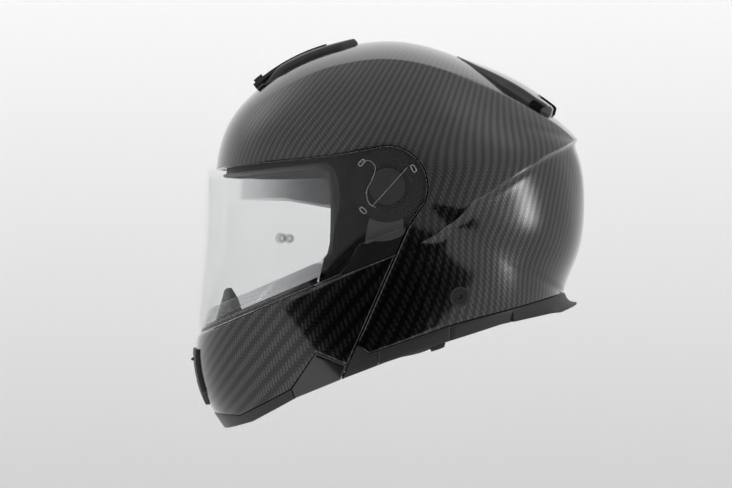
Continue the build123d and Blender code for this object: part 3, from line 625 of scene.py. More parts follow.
# Light grey for the beads round the guide windows: a painted highlight along their edges.
WINDOW_EDGE = plastic("window_edge", 0.55, 0.3)
SMOKE = clear("smoke_visor", (0.50, 0.50, 0.51, 1), 0.02, (0.93, 0.93, 0.935, 1))
SEAL = clear("clear_seal", (0.74, 0.74, 0.75, 1), 0.02, (0.90, 0.90, 0.905, 1), mirror=0.05)
PIN = clear("clear_pin", (0.82, 0.82, 0.83, 1), 0.05)
LINING = lining()
FOAM = foam()
WEBBING = webbing()


# ------------------------------------------------------------------ carbon shell
def deg(angle):
    return math.radians(angle)


# The crest: a ridge that climbs from the forehead along each side of the crown to the spoiler's corner,
# the spoiler's trailing edge, and the wing line that runs forward and down from the same corner.
# Each is (angle over the top, distance from the pivot in mm).
RIDGE = [(30, 133), (45, 118.6), (64, 109), (81, 104.9), (100, 103.6), (119, 106.2), (142, 121.6),
         (158, 145.3), (164.5, 158)]
CORNER = (166.0, 160.5)
WING = [(168.8, 131.5), (177.6, 95), (189, 71.3), (215, 57.5), (243, 52.6), (256, 56)]


def crest_radius(angle):
    """Distance from the pivot of the crest at an angle in degrees."""
    points = np.array(RIDGE + [CORNER] + WING, float)
    return np.interp(angle, points[:, 0], points[:, 1])


def shell_inner(angle):
    """Distance from the pivot of the shell's edge: brow line, round recess, then the seam."""
    outline = [(-FAR, brow_z(-FAR)), BROW_SIDE]
    outline += arc(RECESS_R, 74, 205)
    outline += [SEAM_TOP, (seam_y(-130), -130), (-26, -140)]
    return ray_cross(outline, angle)


def shell_outer(angle):
    return ray_cross([(seam_y(-130), -130), *SHELL_FOOT], angle)


def ray_cross(outline, angle):
    """Distance at which the ray at each angle (radians) crosses a side-view outline; large if never."""
    points = dense(outline, 0.5)
    around = np.unwrap(np.arctan2(points[:, 1], -points[:, 0]))
    r = np.hypot(points[:, 0], points[:, 1])
    if around[-1] < around[0]:
        around, r = around[::-1], r[::-1]
    order = np.argsort(around, kind="stable")
    middle = around.mean()
    turned = (np.asarray(angle) - middle + math.pi) % (2 * math.pi) - math.pi + middle
    return np.interp(turned, around[order], r[order], left=1e3, right=1e3)


def chart_at(form, angle, r, depth=0.0):
    share = np.clip(r / (form.reach(angle) - depth), 0, 1)
    far = np.arcsin(share ** (ROUNDNESS / 2))
    return np.stack([far * np.cos(angle), far * np.sin(angle)], -1)


def crest_lines():
    ridge = [chart_at(shell_form, deg(a), r) for a, r in RIDGE + [CORNER]]
    edge = [ridge[-1], chart_at(shell_form, deg(CORNER[0]), 400.0)]
    wing = [ridge[-1]] + [chart_at(shell_form, deg(a), r) for a, r in WING]
    return [spline(ridge), np.array(edge), spline(wing)]


def line_gap(points, line):
    """Distance in mm from chart points to a chart line, and how far along the line the nearest place is."""
    best = np.full(points.shape[:-1], 1e9)
    place = np.zeros(points.shape[:-1])
    run = run_along(line)
    for i in range(len(line) - 1):
        a, d = line[i], line[i + 1] - line[i]
        size = max(d @ d, 1e-12)
        t = np.clip(((points - a) @ d) / size, 0, 1)
        gap = np.linalg.norm(points - a - t[..., None] * d, axis=-1) * WEAVE_RADIUS
        closer = gap < best
        best = np.where(closer, gap, best)
        place = np.where(closer, (run[i] + t * (run[i + 1] - run[i])) / run[-1], place)
    return best, place


CREST = crest_lines()
RIDGE_HEIGHT = ([0, 0.25, 0.6, 1.0], [0.0, 2.4, 4.0, 4.2])
WING_HEIGHT = ([0, 0.3, 0.7, 1.0], [4.2, 2.6, 1.5, 0.0])
SCOOP_DEPTH = ([0, 0.12, 0.35, 0.6, 0.85, 1.0], [0.8, 3.2, 5.2, 4.8, 2.6, 0.0])


def shell_relief(chart):
    """Height of the crest and depth of the scoop under the wing line, in mm."""
    angle = np.degrees(np.arctan2(chart[..., 1], chart[..., 0])) % 360
    far = np.hypot(chart[..., 0], chart[..., 1])
    on_crest = chart_at(shell_form, np.radians(angle), crest_radius(angle))
    outside = far > np.hypot(on_crest[..., 0], on_crest[..., 1])
    (gap_r, at_r), (gap_e, _), (gap_w, at_w) = [line_gap(chart, line) for line in CREST]
    ridge = np.interp(at_r, *RIDGE_HEIGHT)
    wing = np.interp(at_w, *WING_HEIGHT)
    nearest = np.where(gap_r < gap_w, ridge, wing)
    deck_gap = np.minimum(gap_r, gap_e)
    scoop_gap = np.minimum(gap_w, gap_e)
    wedge_gap = np.minimum(gap_r, gap_w)
    depth = np.where(gap_w <= gap_e, np.interp(at_w, *SCOOP_DEPTH), SCOOP_DEPTH[1][0])
    deck = ridge * np.exp(-deck_gap / 30)
    wedge = nearest * np.exp(-wedge_gap / 26)
    hollow = depth * (1 - np.exp(-scoop_gap / 2.4)) * np.exp(-(scoop_gap / 52) ** 2)
    scoop = wing * np.exp(-scoop_gap / 2.0) - hollow
    fade = smoothstep((angle - 18) / 20) * smoothstep((262 - angle) / 30)
    height = np.where(outside & (angle < CORNER[0]), deck, np.where(outside, scoop, wedge))
    return height * fade


def shell_angles():
    """Column angles in radians, close together where the outline or the crest turns."""
    steps = [(6.5, 12, 0.5), (12, 30, 1.2), (30, 160, 1.6), (160, 164.5, 0.7), (164.5, 165.7, 0.3),
             (165.7, 166.3, 0.1), (166.3, 168, 0.28), (168, 180, 0.8), (180, 205, 1.4), (205, 236, 1.6),
             (236, 262, 1.3), (262, 280, 1.3)]
    angles = [np.arange(a, b - 1e-6, s) for a, b, s in steps]
    return np.radians(np.concatenate(angles + [[280.2]]))


def carbon_shell():
    angle = shell_angles()
    inner = np.minimum(shell_inner(angle), shell_form.reach(angle))
    outer = np.minimum(shell_outer(angle), shell_form.reach(angle))
    outer = np.maximum(outer, inner + 0.05)
    a = chart_at(shell_form, angle, inner)
    b = chart_at(shell_form, angle, outer)
    crest = crest_radius(np.degrees(angle))
    crest = np.clip(crest, inner + (outer - inner) * 0.18, outer)
    middle = chart_at(shell_form, angle, crest)
    is_edge = outer < shell_form.reach(angle) - 0.01
    return patch(shell_form, a, b, rows=26, edge_b=is_edge, crease=middle, relief=shell_relief)


def build_shell():
    v, f, c = carbon_shell()
    shell = new_object("carbon_shell", v, f, "shell", CARBON, ("outer_shell",), c, deg(21), BOTH_SIDES)
    centre, normal = port_place()
    for side in BOTH_SIDES:
        drill(shell, centre * (side, 1, 1), normal * (side, 1, 1), PORT_R)


def port_place():
    """Middle of the strap anchor's port on the left, and the direction it faces."""
    chart, _ = shell_form.chart(np.array([PORT_CENTRE]))
    return shell_form.point(chart)[0], shell_form.normal(chart)[0]


def drill(obj, centre, normal, radius):
    """Cuts a round hole straight into a mesh."""
    bm = bmesh.new()
    r = radius * MM
    bmesh.ops.create_cone(bm, cap_ends=True, segments=48, radius1=r, radius2=r, depth=24 * MM)
    turn = Vector(normal).to_track_quat("Z", "Y").to_matrix().to_4x4()
    cut(obj, bm, Matrix.Translation(Vector(centre) * MM) @ turn)


def window(obj, low, high):
    """Cuts a box-shaped opening between two corners, with rounded upright edges."""
    bm = bmesh.new()
    bmesh.ops.create_cube(bm, size=1.0)
    size = (Vector(high) - Vector(low)) * MM
    bmesh.ops.scale(bm, vec=size, verts=bm.verts)
    along_y = [e for e in bm.edges if abs(e.verts[0].co.y - e.verts[1].co.y) > 1e-6]
    bmesh.ops.bevel(bm, geom=along_y, offset=3.0 * MM, segments=6, affect="EDGES", profile=0.5)
    cut(obj, bm, Matrix.Translation((Vector(high) + Vector(low)) * 0.5 * MM))


def cut(obj, bm, place):
    """Takes a closed shape away from a mesh."""
    mesh = bpy.data.meshes.new("cutter")
    bm.to_mesh(mesh)
    bm.free()
    cutter = bpy.data.objects.new("cutter", mesh)
    bpy.context.scene.collection.objects.link(cutter)
    cutter.matrix_world = place
    modifier = obj.modifiers.new("hole", "BOOLEAN")
    modifier.operation, modifier.solver, modifier.object = "DIFFERENCE", "EXACT", cutter
    bpy.context.view_layer.update()
    solid = bpy.data.meshes.new_from_object(obj.evaluated_get(bpy.context.evaluated_depsgraph_get()))
    obj.modifiers.clear()
    old, obj.data = obj.data, solid
    bpy.data.meshes.remove(old)
    bpy.data.objects.remove(cutter)


# ------------------------------------------------------------------ chin bar
def build_chin():
    start = (seam_y(-54.8) - SHUT_GAP, -55.0)
    top = trace(shell_form, [start, CHIN_TOP_SIDE, (-FAR, chin_top_z(-FAR))], 120)
    foot = trace(shell_form, [start, seam_point(-146.1), SIDE_TRIM_TOP, SIDE_TRIM_FRONT, CHIN_FOOT,
                              (-137, -190.7), (-FAR, -190.7)], 120)
    v, f, c = patch(shell_form, top, foot, rows=26)
    bar = new_object("carbon_chin_bar", v, f, "chin_bar", CARBON, ("chin_bar_shell",), c, deg(7), BOTH_SIDES)
    window(bar, (-21.6, -176, -163.8), (21.6, -148, -141.2))


# ------------------------------------------------------------------ visor
def build_visor():
    corner = (SEAM_TOP[0] - SHUT_GAP, SEAM_TOP[1] + SHUT_GAP)
    top = [corner, *arc(RECESS_R - SHUT_GAP, 205, 74), (BROW_SIDE[0], BROW_SIDE[1] - SHUT_GAP),
           (-FAR, brow_z(-FAR) - SHUT_GAP)]
    foot = [corner, (VISOR_CORNER[0], VISOR_CORNER[1] + SHUT_GAP),
            (CHIN_TOP_SIDE[0] - 0.5, CHIN_TOP_SIDE[1] + SHUT_GAP), (-FAR, chin_top_z(-FAR) + SHUT_GAP)]
    clear_sheet("clear_visor", ("visor",), top, foot, 150, rows=14, wall=VISOR_WALL, edge_r=0.5)
    rear = -43.6
    top = [(rear, 15.0), (-50, 19.4), (-FAR, brow_z(-FAR) - 8)]
    foot = [(rear, -62.0), (-50, -66.9), (-FAR, chin_top_z(-FAR) + 7.6)]
    clear_sheet("anti_fog_insert", (), top, foot, 110, INSERT_DEPTH, rows=8, wall=INSERT_WALL, edge_r=0.2,
                caps=(True, False))


def clear_sheet(name, nodes, top, foot, count, depth=0.0, **rest):
    """Clear plate on the visor's form, with its rim faces painted as a glowing cut edge."""
    top, foot = trace(visor_form, top, count, depth), trace(visor_form, foot, count, depth)
    v, f, _ = patch(visor_form, top, foot, depth=depth, **rest)
    sheet = new_object(name, v, f, "visor", CLEAR, nodes, sides=BOTH_SIDES)
    sheet.data.materials.append(VISOR_EDGE)
    for face in sheet.data.polygons:
        x, y, z = np.array(face.center) / MM
        angle = math.atan2(z, -y)
        share = (math.hypot(y, z) / float(visor_form.reach(angle))) ** (ROUNDNESS - 1)
        steep_x = math.copysign((abs(x) / visor_form.half_width) ** (ROUNDNESS - 1), x)
        steep = unit(np.array([steep_x, -share * math.cos(angle), share * math.sin(angle)]))
        # Rim faces take the painted edge glow.
        if abs(float(np.dot(steep, np.array(face.normal)))) < 0.7:
            face.material_index = 1


# ------------------------------------------------------------------ more shell pieces
head_room = Form(HEAD_PROFILE, 81.0)
sun_form = Form(arc(SUN_R, 0, 345, 23), SUN_HALF_WIDTH)


def plate(name, body, material, nodes, a, b, count=90, depth=0.0, sides=BOTH_SIDES, **rest):
    """Plate on the shell's form between two side-view outlines, for one or both sides."""
    a, b = trace(shell_form, a, count, depth), trace(shell_form, b, count, depth)
    v, f, _ = patch(shell_form, a, b, depth=depth, **rest)
    return new_object(name, v, f, body, material, nodes, sides=sides)


def each_side(build, name, nodes):
    """Builds a piece once for the left and once, mirrored, for the right."""
    for label, side in (("left", 1), ("right", -1)):
        build(f"{name}_{label}", tuple(f"{node}_{label}" for node in nodes), (side,))


def brow_line(rise):
    return [(-FAR, brow_z(-FAR) + rise), (BROW_SIDE[0], BROW_SIDE[1] + rise)]


def port_edge():
    return [(-FAR, brow_z(-FAR) - BROW_LEDGE_DROP), *EYE_PORT_REAR]


def recess_edge(out):
    """The shell's edge up the seam, round the recess and along the brow, moved outwards."""
    low = shifted([RECESS_LOW, SEAM_TOP, (seam_y(-134), -134)], out, 0)
    return (brow_line(out) + arc(RECESS_R + out, 74, 205, 24) + low)[::-1]


def build_recess():
    """Ledge under the visor and chin bar, and the wall that steps down to it from the shell's edge."""
    front = (port_edge() + [(-63, -108), (-66, -138)])[::-1]
    low = shifted([SEAM_TOP, (seam_y(-138), -138)], 2, 0)
    rear = (brow_line(2) + arc(RECESS_R + 2, 74, 205, 24) + low)[::-1]
    plate("recess_ledge", "shell", RECESS, (), front, rear, 150, depth=RECESS_DEPTH, wall=3.0, rows=14,
          caps=(True, False))
    plate("recess_wall", "shell", GLOSS, (), recess_edge(0.5), recess_edge(4), 170, depth=3.2,
          wall=RECESS_DEPTH - 3.0, rows=2, edge_r=0.5, caps=(True, False))


def build_shell_trim():
    """Edge moulding under the shell, in three lengths on each side with thin joints between them."""
    top = [(seam_y(-130.4), -130.4), *shifted(SHELL_FOOT, 0, -0.4)]
    foot = [SEAM_BOTTOM, *TRIM_FOOT]
    gap = 0.06
    ends = [-60, *TRIM_JOINTS, FAR]
    for k in range(3):
        a, b = [between(line, ends[k] + gap, ends[k + 1] - gap) for line in (top, foot)]
        nodes = ("shell_lower_trim",) if k == 0 else ()
        plate(f"shell_trim_{k}", "shell", SATIN, nodes, a, b, 60, depth=-0.4, wall=6.4, rows=3, edge_r=0.6,
              caps=(True, k < 2), round_caps=True)


def between(outline, y0, y1):
    """The stretch of an outline that runs towards +y, between two values of y."""
    p = dense(outline, 0.25)
    keep = (p[:, 0] >= y0) & (p[:, 0] <= y1)
    return [tuple(q) for q in p[keep]]


def build_gaskets():
    edge = port_edge()[::-1]
    plate("port_gasket", "shell", RUBBER, ("eye_port_gasket",), shifted(edge, -2.2, -1.6),
          shifted(edge, 0.6, 0.6), 140, depth=RECESS_DEPTH - 2.5, wall=8.0, rows=3, edge_r=1.3,
          caps=(True, False))
    line = [(y, chin_top_z(y)) for y in (-62, -FAR)]
    plate("chin_gasket", "chin_bar", RUBBER, ("chin_bar_gasket",), shifted(line, 0, 4.5),
          shifted(line, 0, -6), 110, depth=4.2, wall=4.8, rows=3, edge_r=1.4, caps=(True, False))
    line = [(y, chin_top_z(y)) for y in (-52, -60, -FAR)]
    top = [(-52, line[0][1] + 15), (-60, line[1][1] + 18.5), (-FAR, line[2][1] + 18.5)]
    plate("visor_seal", "chin_bar", SEAL, (), top, shifted(line, 0, 3.6), 110, depth=5.0, wall=1.2, rows=8,
          edge_r=0.5, caps=(True, False))


# ------------------------------------------------------------------ more chin bar pieces
def build_chin_trims():
    def side_trim(name, nodes, sides):
        plate(name, "chin_bar", GLOSS, nodes, [SIDE_TRIM_TOP, seam_point(-146.1)],
              [SIDE_TRIM_FRONT, SIDE_TRIM_FOOT, seam_point(-158.4)], 60, depth=-0.3, wall=4.3, rows=18,
              edge_r=1.7, sides=sides, caps=(True, True), round_caps=True)

    each_side(side_trim, "side_trim", ("chin_side_trim",))
    top = shifted([SIDE_TRIM_FRONT, CHIN_FOOT, (-FAR, -190.7)], 0, -0.3)
    foot = [SIDE_TRIM_FOOT, (-112, rest_z(-112)), (-FAR, rest_z(-FAR))]
    plate("foot_trim", "chin_bar", SATIN, ("chin_lower_trim",), top, foot, 120, depth=-0.3, wall=12.0, rows=5,
          caps=(True, False), round_caps=True)


def build_breath_guard():
    top = [(-127.5, -108), (-131, -96), (-136, -86), (-FAR, -82)]
    foot = [(-127.5, -111), (-150, -121.5), (-FAR, -150)]
    plate("breath_deflector", "chin_bar", RECESS, ("breath_guard",), top, foot, 50, depth=19.5, wall=2.2,
          rows=10, edge_r=0.8, caps=(True, False))


def build_sun_visor():
    low = [(-6, -9), (-45, -15.5), (-86, -8.5), (-FAR, 6 - (FAR - 150) * 0.22)]
    top = [(-8, 9), (-40, 24), (-62, 52), *arc(150, 44, 44, 0), (-200, 192)]
    low, top = trace(sun_form, low, 90), trace(sun_form, top, 90)
    v, f, _ = patch(sun_form, low, top, rows=18, wall=VISOR_WALL, edge_r=0.8, caps=(True, False))
    new_object("tinted_visor", v, f, "sun_visor", SMOKE, ("sun_visor",), sides=BOTH_SIDES)


# ------------------------------------------------------------------ crown vent
def crown_half_width(y):
    return np.interp(y, [-119, -104, -88, -70, -54, -38, -24], [10, 28, 34.5, 37, 36.5, 34, 22])


def shell_at(angle, x):
    """Point, normal and relief of the shell at an angle over the top (radians) and a distance from the
    mid-plane."""
    far = np.arccos(np.clip(np.abs(x) / HALF_WIDTH, 0, 1) ** (ROUNDNESS / 2))
    chart = np.stack([far * np.cos(angle), far * np.sin(angle)], -1)
    point, normal = shell_form.point(chart), shell_form.normal(chart)
    side = np.ones(point.shape)
    side[..., 0] = np.where(np.asarray(x) < 0, -1.0, 1.0)
    return point * side, normal * side, shell_relief(chart)


def build_crown_vent():
    """Vent housing: two rails that rise from the forehead, with a channel between them for the slider."""
    start, stop = 40.6, 79.0
    angle = np.concatenate([start + np.array([0, 0.3, 0.8, 1.6]), np.linspace(43.2, 77.4, 52),
                            [78.2, 78.7, stop]])
    angle = np.radians(angle)
    share = np.array([0, 0.2, 0.4, 0.6, 0.65, 0.665, 0.70, 0.74, 0.8, 0.87, 0.92, 0.955, 0.985, 1])
    across = np.concatenate([-share[:0:-1], share])
    half = crown_half_width(-shell_form.reach(angle) * np.cos(angle))[:, None]
    a, s = np.meshgrid(angle, across, indexing="ij")
    point, normal, _ = shell_at(a, s * half)
    turn = np.degrees(a)
    rise = smoothstep((turn - 40.3) / 9.0)
    end = smoothstep((79.2 - turn) / 1.3)
    channel = smoothstep((0.70 - np.abs(s)) / 0.05) * smoothstep((turn - 43.5) / 2.0)
    channel = channel * smoothstep((77.2 - turn) / 1.2)
    height = (0.9 + 4.4 * rise) * side_edge(s, half, 3.2) * (0.35 + 0.65 * end)
    height = height * (1 - channel) + 1.3 * channel
    grid_solid("crown_vent_housing", point + normal * height[..., None], point - normal * 1.5, SATIN,
               ("crown_vent_frame",))


def side_edge(share, half, radius):
    """Falls from 1 to 0 round the rounded side edges of a raised piece."""
    return np.sqrt(np.clip(1 - (1 - np.clip((1 - np.abs(share)) * half / radius, 0, 1)) ** 2, 0, 1))


SLOT_MIDDLES = (-31.0, 0.0, 31.0)


def build_fairing():
    """Low spoiler behind the crown, with three exhaust slots that open to the rear, their floors painted dark
    as shade.
    """
    angle = np.concatenate([[118.2, 118.6, 119.2], np.linspace(120, 149, 30), np.linspace(149.4, 151.4, 6),
                            np.linspace(152, 156, 6), [156.3, 156.6, 156.8]])
    angle = np.radians(angle)
    share = np.concatenate([np.linspace(0, 0.1, 3), np.linspace(0.14, 0.92, 36),
                            [0.94, 0.96, 0.975, 0.99, 1]])
    across = np.concatenate([-share[:0:-1], share])
    y = -shell_form.reach(angle) * np.cos(angle)
    half = np.interp(y, [60, 64, 80, 104, 128, 138, 142.5], [20, 30, 43, 51, 54, 51.5, 47])[:, None]
    a, s = np.meshgrid(angle, across, indexing="ij")
    x, turn = s * half, np.degrees(a)
    point, normal, base = shell_at(a, x)
    rise = 0.9 + 7.2 * smoothstep((turn - 117.5) / 30)
    height = rise * side_edge(s, half, 2.6) * (0.3 + 0.7 * smoothstep((156.9 - turn) / 1.2))
    slot = np.max([smoothstep((11.5 - np.abs(x - middle)) / 1.4) for middle in SLOT_MIDDLES], axis=0)
    slot = slot * smoothstep((turn - 149.6) / 1.2)
    height = height * (1 - slot) + 1.2 * slot
    obj = grid_solid("exhaust_fairing", point + normal * (base + height)[..., None],
                     point + normal * (base - 1.5)[..., None], GLOSS, ("rear_fairing",))
    # Painted shade: faces in the slots take the darker, duller recess black so they read as shaded openings.
    obj.data.materials.append(RECESS)
    for face in obj.data.polygons:
        x, y, z = np.array(face.center) / MM
        if math.degrees(math.atan2(z, -y)) > 150.2 and min(abs(x - m) for m in SLOT_MIDDLES) < 11.4:
            face.material_index = 1


def grid_solid(name, top, under, material, nodes):
    """Closed solid on the shell between two grids of points in mm."""
    nu, nw = top.shape[:2]
    vertices = np.concatenate([top.reshape(-1, 3), under.reshape(-1, 3)])
    faces, index, low = grid_faces(nu, nw)
    for i in range(nu - 1):
        faces.append((index[i, 0], index[i + 1, 0], low[i + 1, 0], low[i, 0]))
        faces.append((index[i, -1], low[i, -1], low[i + 1, -1], index[i + 1, -1]))
    for j in range(nw - 1):
        faces.append((index[0, j], low[0, j], low[0, j + 1], index[0, j + 1]))
        faces.append((index[-1, j], index[-1, j + 1], low[-1, j + 1], low[-1, j]))
    return new_object(name, vertices, faces, "shell", material, nodes, smooth=38.0)


# ------------------------------------------------------------------ nape lip
def build_nape_lip():
    """Flared rubber lip round the nape, concave above, with the flat that the helmet stands on below."""
    line = trace(shell_form, [(104, -101.5), (140, -91.2), (FAR, -73)], 70)
    point = shell_form.point(line, -0.7)
    normal = shell_form.normal(line)
    out = unit(normal * np.array([1, 1, 0]))
    grow = smoothstep((point[:, 1] - 104) / 46)
    reach = 1.6 + 9.5 * grow
    sections = []
    for share, fall in ((0.0, 0.0), (0.06, 0.02), (0.12, 0.12), (0.2, 0.3), (0.34, 0.5), (0.55, 0.68),
                        (0.8, 0.8), (0.96, 0.87), (1.0, 0.93), (0.97, 1.0), (0.0, 1.0), (-0.6, 1.0),
                        (-0.6, 0.0)):
        p = point + out * (reach * share)[:, None]
        foot = np.interp(p[:, 1], *NAPE_FOOT)
        top = point[:, 2]
        p[:, 2] = top + (np.minimum(foot, top - 3.5) - top) * fall
        sections.append(p)
    tube("nape_flare", np.array(sections), "shell", RUBBER, ("nape_lip",))


def tube(name, loops, body, material, nodes, sides=BOTH_SIDES, smooth=45.0, closed=True):
    """Solid swept along a path: loops[k, i] is corner k of the section at station i. A closed tube runs on
    to its own mirror image at the mid-plane."""
    corners, stations = loops.shape[:2]
    vertices = loops.transpose(1, 0, 2).reshape(-1, 3)
    faces = []
    for i in range(stations - 1):
        for k in range(corners):
            a, b = i * corners + k, i * corners + (k + 1) % corners
            faces.append((a, b, b + corners, a + corners))
    faces.append(tuple(range(corners)))
    if not closed:
        faces.append(tuple((stations - 1) * corners + k for k in reversed(range(corners))))
    return new_object(name, vertices, faces, body, material, nodes, sides=sides, smooth=smooth)


# ------------------------------------------------------------------ liners, pads and straps
def build_foam_liner():
    """Foam between the shell and the pads, open below and in front."""
    edge = [(-FAR, 8), (-62, 14), (-38, 6), (0, -20), (34, -38), (70, -78), (FAR, -50)]
    v, f = shell_layer(shell_form, 12.4, head_room, -7.6, edge, rows=26)
    new_object("foam_liner", v, f, "shell", FOAM, ("impact_liner",), sides=BOTH_SIDES)


def shell_layer(outer, outer_depth, inner, inner_depth, edge, rows=20, count=110, relief=None):
    """Dome between two forms, above a side-view edge that runs from the forehead to the nape."""
    low = trace_across(outer, edge, count, outer_depth)
    start, stop = math.atan2(low[0][1], low[0][0]), math.atan2(low[-1][1], low[-1][0])
    if stop < start:
        stop += 2 * math.pi
    sweep = np.linspace(start, stop, count)
    high = np.stack([np.cos(sweep), np.sin(sweep)], -1) * (math.pi / 2)
    t = np.concatenate([[0, 0.004, 0.012, 0.025], np.linspace(0.045, 1, rows)])
    chart = low[:, None] + (high - low)[:, None] * t[None, :, None]
    top = outer.point(chart, outer_depth)
    under = inner.point(chart, inner_depth)
    if relief is not None:
        under = under - inner.normal(chart) * relief(chart)[..., None]
    middle = (top[:, :1] + under[:, :1]) / 2
    pinch = np.array([0.22, 0.10, 0.04, 0.01])
    for k, share in enumerate(pinch):
        top[:, k] += (middle[:, 0] - top[:, k]) * share
        under[:, k] += (middle[:, 0] - under[:, k]) * share
    faces, index, low_index = grid_faces(*chart.shape[:2])
    for i in range(len(chart) - 1):
        faces.append((index[i, 0], index[i + 1, 0], low_index[i + 1, 0], low_index[i, 0]))
    return np.concatenate([top.reshape(-1, 3), under.reshape(-1, 3)]), faces


def trace_across(form, outline, count, depth):
    """Chart points along an outline that starts and ends beyond the mid-plane outline."""
    points = dense(outline)
    chart, inside = form.chart(points, depth)
    first, last = int(np.argmax(inside)), len(inside) - int(np.argmax(inside[::-1])) - 1
    chart = chart[max(first - 1, 0): last + 2]
    for end in (0, -1):
        chart[end] = chart[end] / np.linalg.norm(chart[end]) * (math.pi / 2)
    run = run_along(form.point(chart, depth))
    want = np.linspace(0, run[-1], count)
    return np.stack([np.interp(want, run, chart[:, k]) for k in range(2)], -1)


def quilt(chart):
    """Shallow stitched channels over a padded lining."""
    x = np.cos(np.clip(np.hypot(chart[..., 0], chart[..., 1]), 0, math.pi / 2)) ** (2 / ROUNDNESS)
    angle = np.degrees(np.arctan2(chart[..., 1], chart[..., 0])) % 360
    stripes = np.abs(np.sin(np.radians(angle * 4.5)))
    seams = np.minimum(np.abs(x - 0.30), np.abs(x - 0.62)) / 0.03
    return -2.6 * np.exp(-(stripes / 0.16) ** 2) - 2.2 * np.exp(-seams**2)


def build_crown_pad():
    edge = [(-FAR, 20), (-60, 20), (-30, -8), (70, -28), (FAR, -28)]
    v, f = shell_layer(head_room, -7.0, head_room, -0.4, edge, rows=60, count=190, relief=quilt)
    new_object("crown_lining", v, f, "shell", LINING, ("crown_pad",), sides=BOTH_SIDES, smooth=60)


def build_cheek_pads():
    """Thick pads beside the face, flat against the shell and domed towards the cheek."""
    rim = [(-38, -43), (6, -43), (50, -43), (47, -70), (24, -104), (10, -117), (-30, -126), (-42, -118),
           (-41, -80)]
    ring = round_ring(rim, 96)
    centre = np.array([2.0, -80.0])
    shares = np.array([1.0, 0.995, 0.975, 0.94, 0.88, 0.8, 0.7, 0.58, 0.45, 0.3, 0.15])
    flat = centre + (ring - centre)[None] * shares[:, None, None]
    outer_x = on_form_x(flat, 13.0)
    swell = np.sqrt(np.clip(1 - shares**5, 0, 1))
    groove = groove_lines(flat)
    inner_x = 84.0 - 21.5 * swell[:, None] + groove
    inner_x = np.minimum(inner_x, outer_x - 4.0)
    inner = np.concatenate([inner_x[..., None], flat], -1)
    outer_x = outer_x - 1.2 * (1 - np.clip((1 - shares) / 0.05, 0, 1))[:, None]
    outer = np.concatenate([outer_x[..., None], flat], -1)
    n = len(ring)
    vertices = np.concatenate([inner.reshape(-1, 3), outer.reshape(-1, 3),
                               [[62.5, *centre]], [[on_form_x(centre, 13.0), *centre]]])
    rings = len(shares)
    faces = []
    for r in range(rings - 1):
        for i in range(n):
            j = (i + 1) % n
            a, b = r * n, (r + 1) * n
            faces.append((a + i, b + i, b + j, a + j))
            c, d = (rings + r) * n, (rings + r + 1) * n
            faces.append((c + i, c + j, d + j, d + i))
    for i in range(n):
        j = (i + 1) % n
        faces.append((i, j, rings * n + j, rings * n + i))
        faces.append(((rings - 1) * n + i, 2 * rings * n, (rings - 1) * n + j))
        faces.append(((2 * rings - 1) * n + i, (2 * rings - 1) * n + j, 2 * rings * n + 1))

    def one(name, nodes, sides):
        new_object(name, vertices, faces, "shell", LINING, nodes, sides=sides, smooth=60)

    each_side(one, "cheek_cushion", ("cheek_pad",))


def groove_lines(flat):
    """Seam grooves across the cheek pad's face, in mm towards the shell."""
    y, z = flat[..., 0], flat[..., 1]
    a = np.abs((z + 74) - 0.35 * (y + 0)) / 1.5
    b = np.abs((y - 2) + 0.12 * (z + 80)) / 1.5
    return 2.6 * np.exp(-a**2) + 1.8 * np.exp(-b**2) * (z > -74 + 0.35 * y)


def on_form_x(points, depth):
    """Distance from the mid-plane of the shell's form over side-view points, at a depth."""
    q = np.asarray(points, float)
    angle = np.arctan2(q[..., 1], -q[..., 0])
    share = np.hypot(q[..., 0], q[..., 1]) / (shell_form.reach(angle) - depth)
    return (HALF_WIDTH - depth) * np.clip(1 - np.clip(share, 0, 1) ** ROUNDNESS, 0, 1) ** (1 / ROUNDNESS)


def round_ring(outline, count):
    """Evenly spaced points on a smooth closed curve through an outline."""
    curve = closed_curve(outline, 60)
    loop = np.concatenate([curve, curve[:1]])
    run = run_along(loop)
    want = np.linspace(0, run[-1], count, endpoint=False)
    return np.stack([np.interp(want, run, loop[:, k]) for k in range(2)], -1)


def build_neck_roll():
    """Padded roll round the back and sides of the neck opening."""
    line = trace(shell_form, [(78, -92), (104, -88), (FAR, -60)], 60, 17.0)
    centre = shell_form.point(line, 17.0)
    normal = shell_form.normal(line)
    out = unit(normal * np.array([1, 1, 0]))
    up = np.array([0, 0, 1.0])
    ends = np.sqrt(np.clip(1 - (1 - np.clip(np.arange(60) / 5, 0, 1)) ** 2, 0.02, 1))
    crease = 1 - 0.07 * np.exp(-((np.arange(60) % 10 - 5) / 0.8) ** 2)
    loops = []
    for k in range(20):
        t = 2 * math.pi * k / 20
        a = math.copysign(abs(math.cos(t)) ** 0.8, math.cos(t)) * 9.8
        b = math.copysign(abs(math.sin(t)) ** 0.8, math.sin(t)) * 12.0
        loops.append(centre + out * (a * ends * crease)[:, None] + up * (b * ends * crease)[:, None])
    tube("neck_cushion", np.array(loops), "shell", LINING, ("neck_roll",), smooth=70)


def build_chin_liner():
    top = [(-108, -109.3), (-FAR, -145)]
    foot = [(-108, -168.5), (-122, -176), (-FAR, -190)]
    plate("chin_foam", "chin_bar", LINING, ("chin_liner",), top, foot, 80, depth=9.3, wall=17.0, rows=16,
          edge_r=4.0, caps=(True, False), round_caps=True)
    top = [(-84, -165), (-118, -178), (-FAR, -216)]
    foot = [(-78, -170), (-112, -181), (-FAR, -219)]
    plate("wind_curtain", "chin_bar", WEBBING, ("chin_curtain",), top, foot, 80, depth=16.0, wall=1.6, rows=5,
          edge_r=0.6, caps=(True, False))


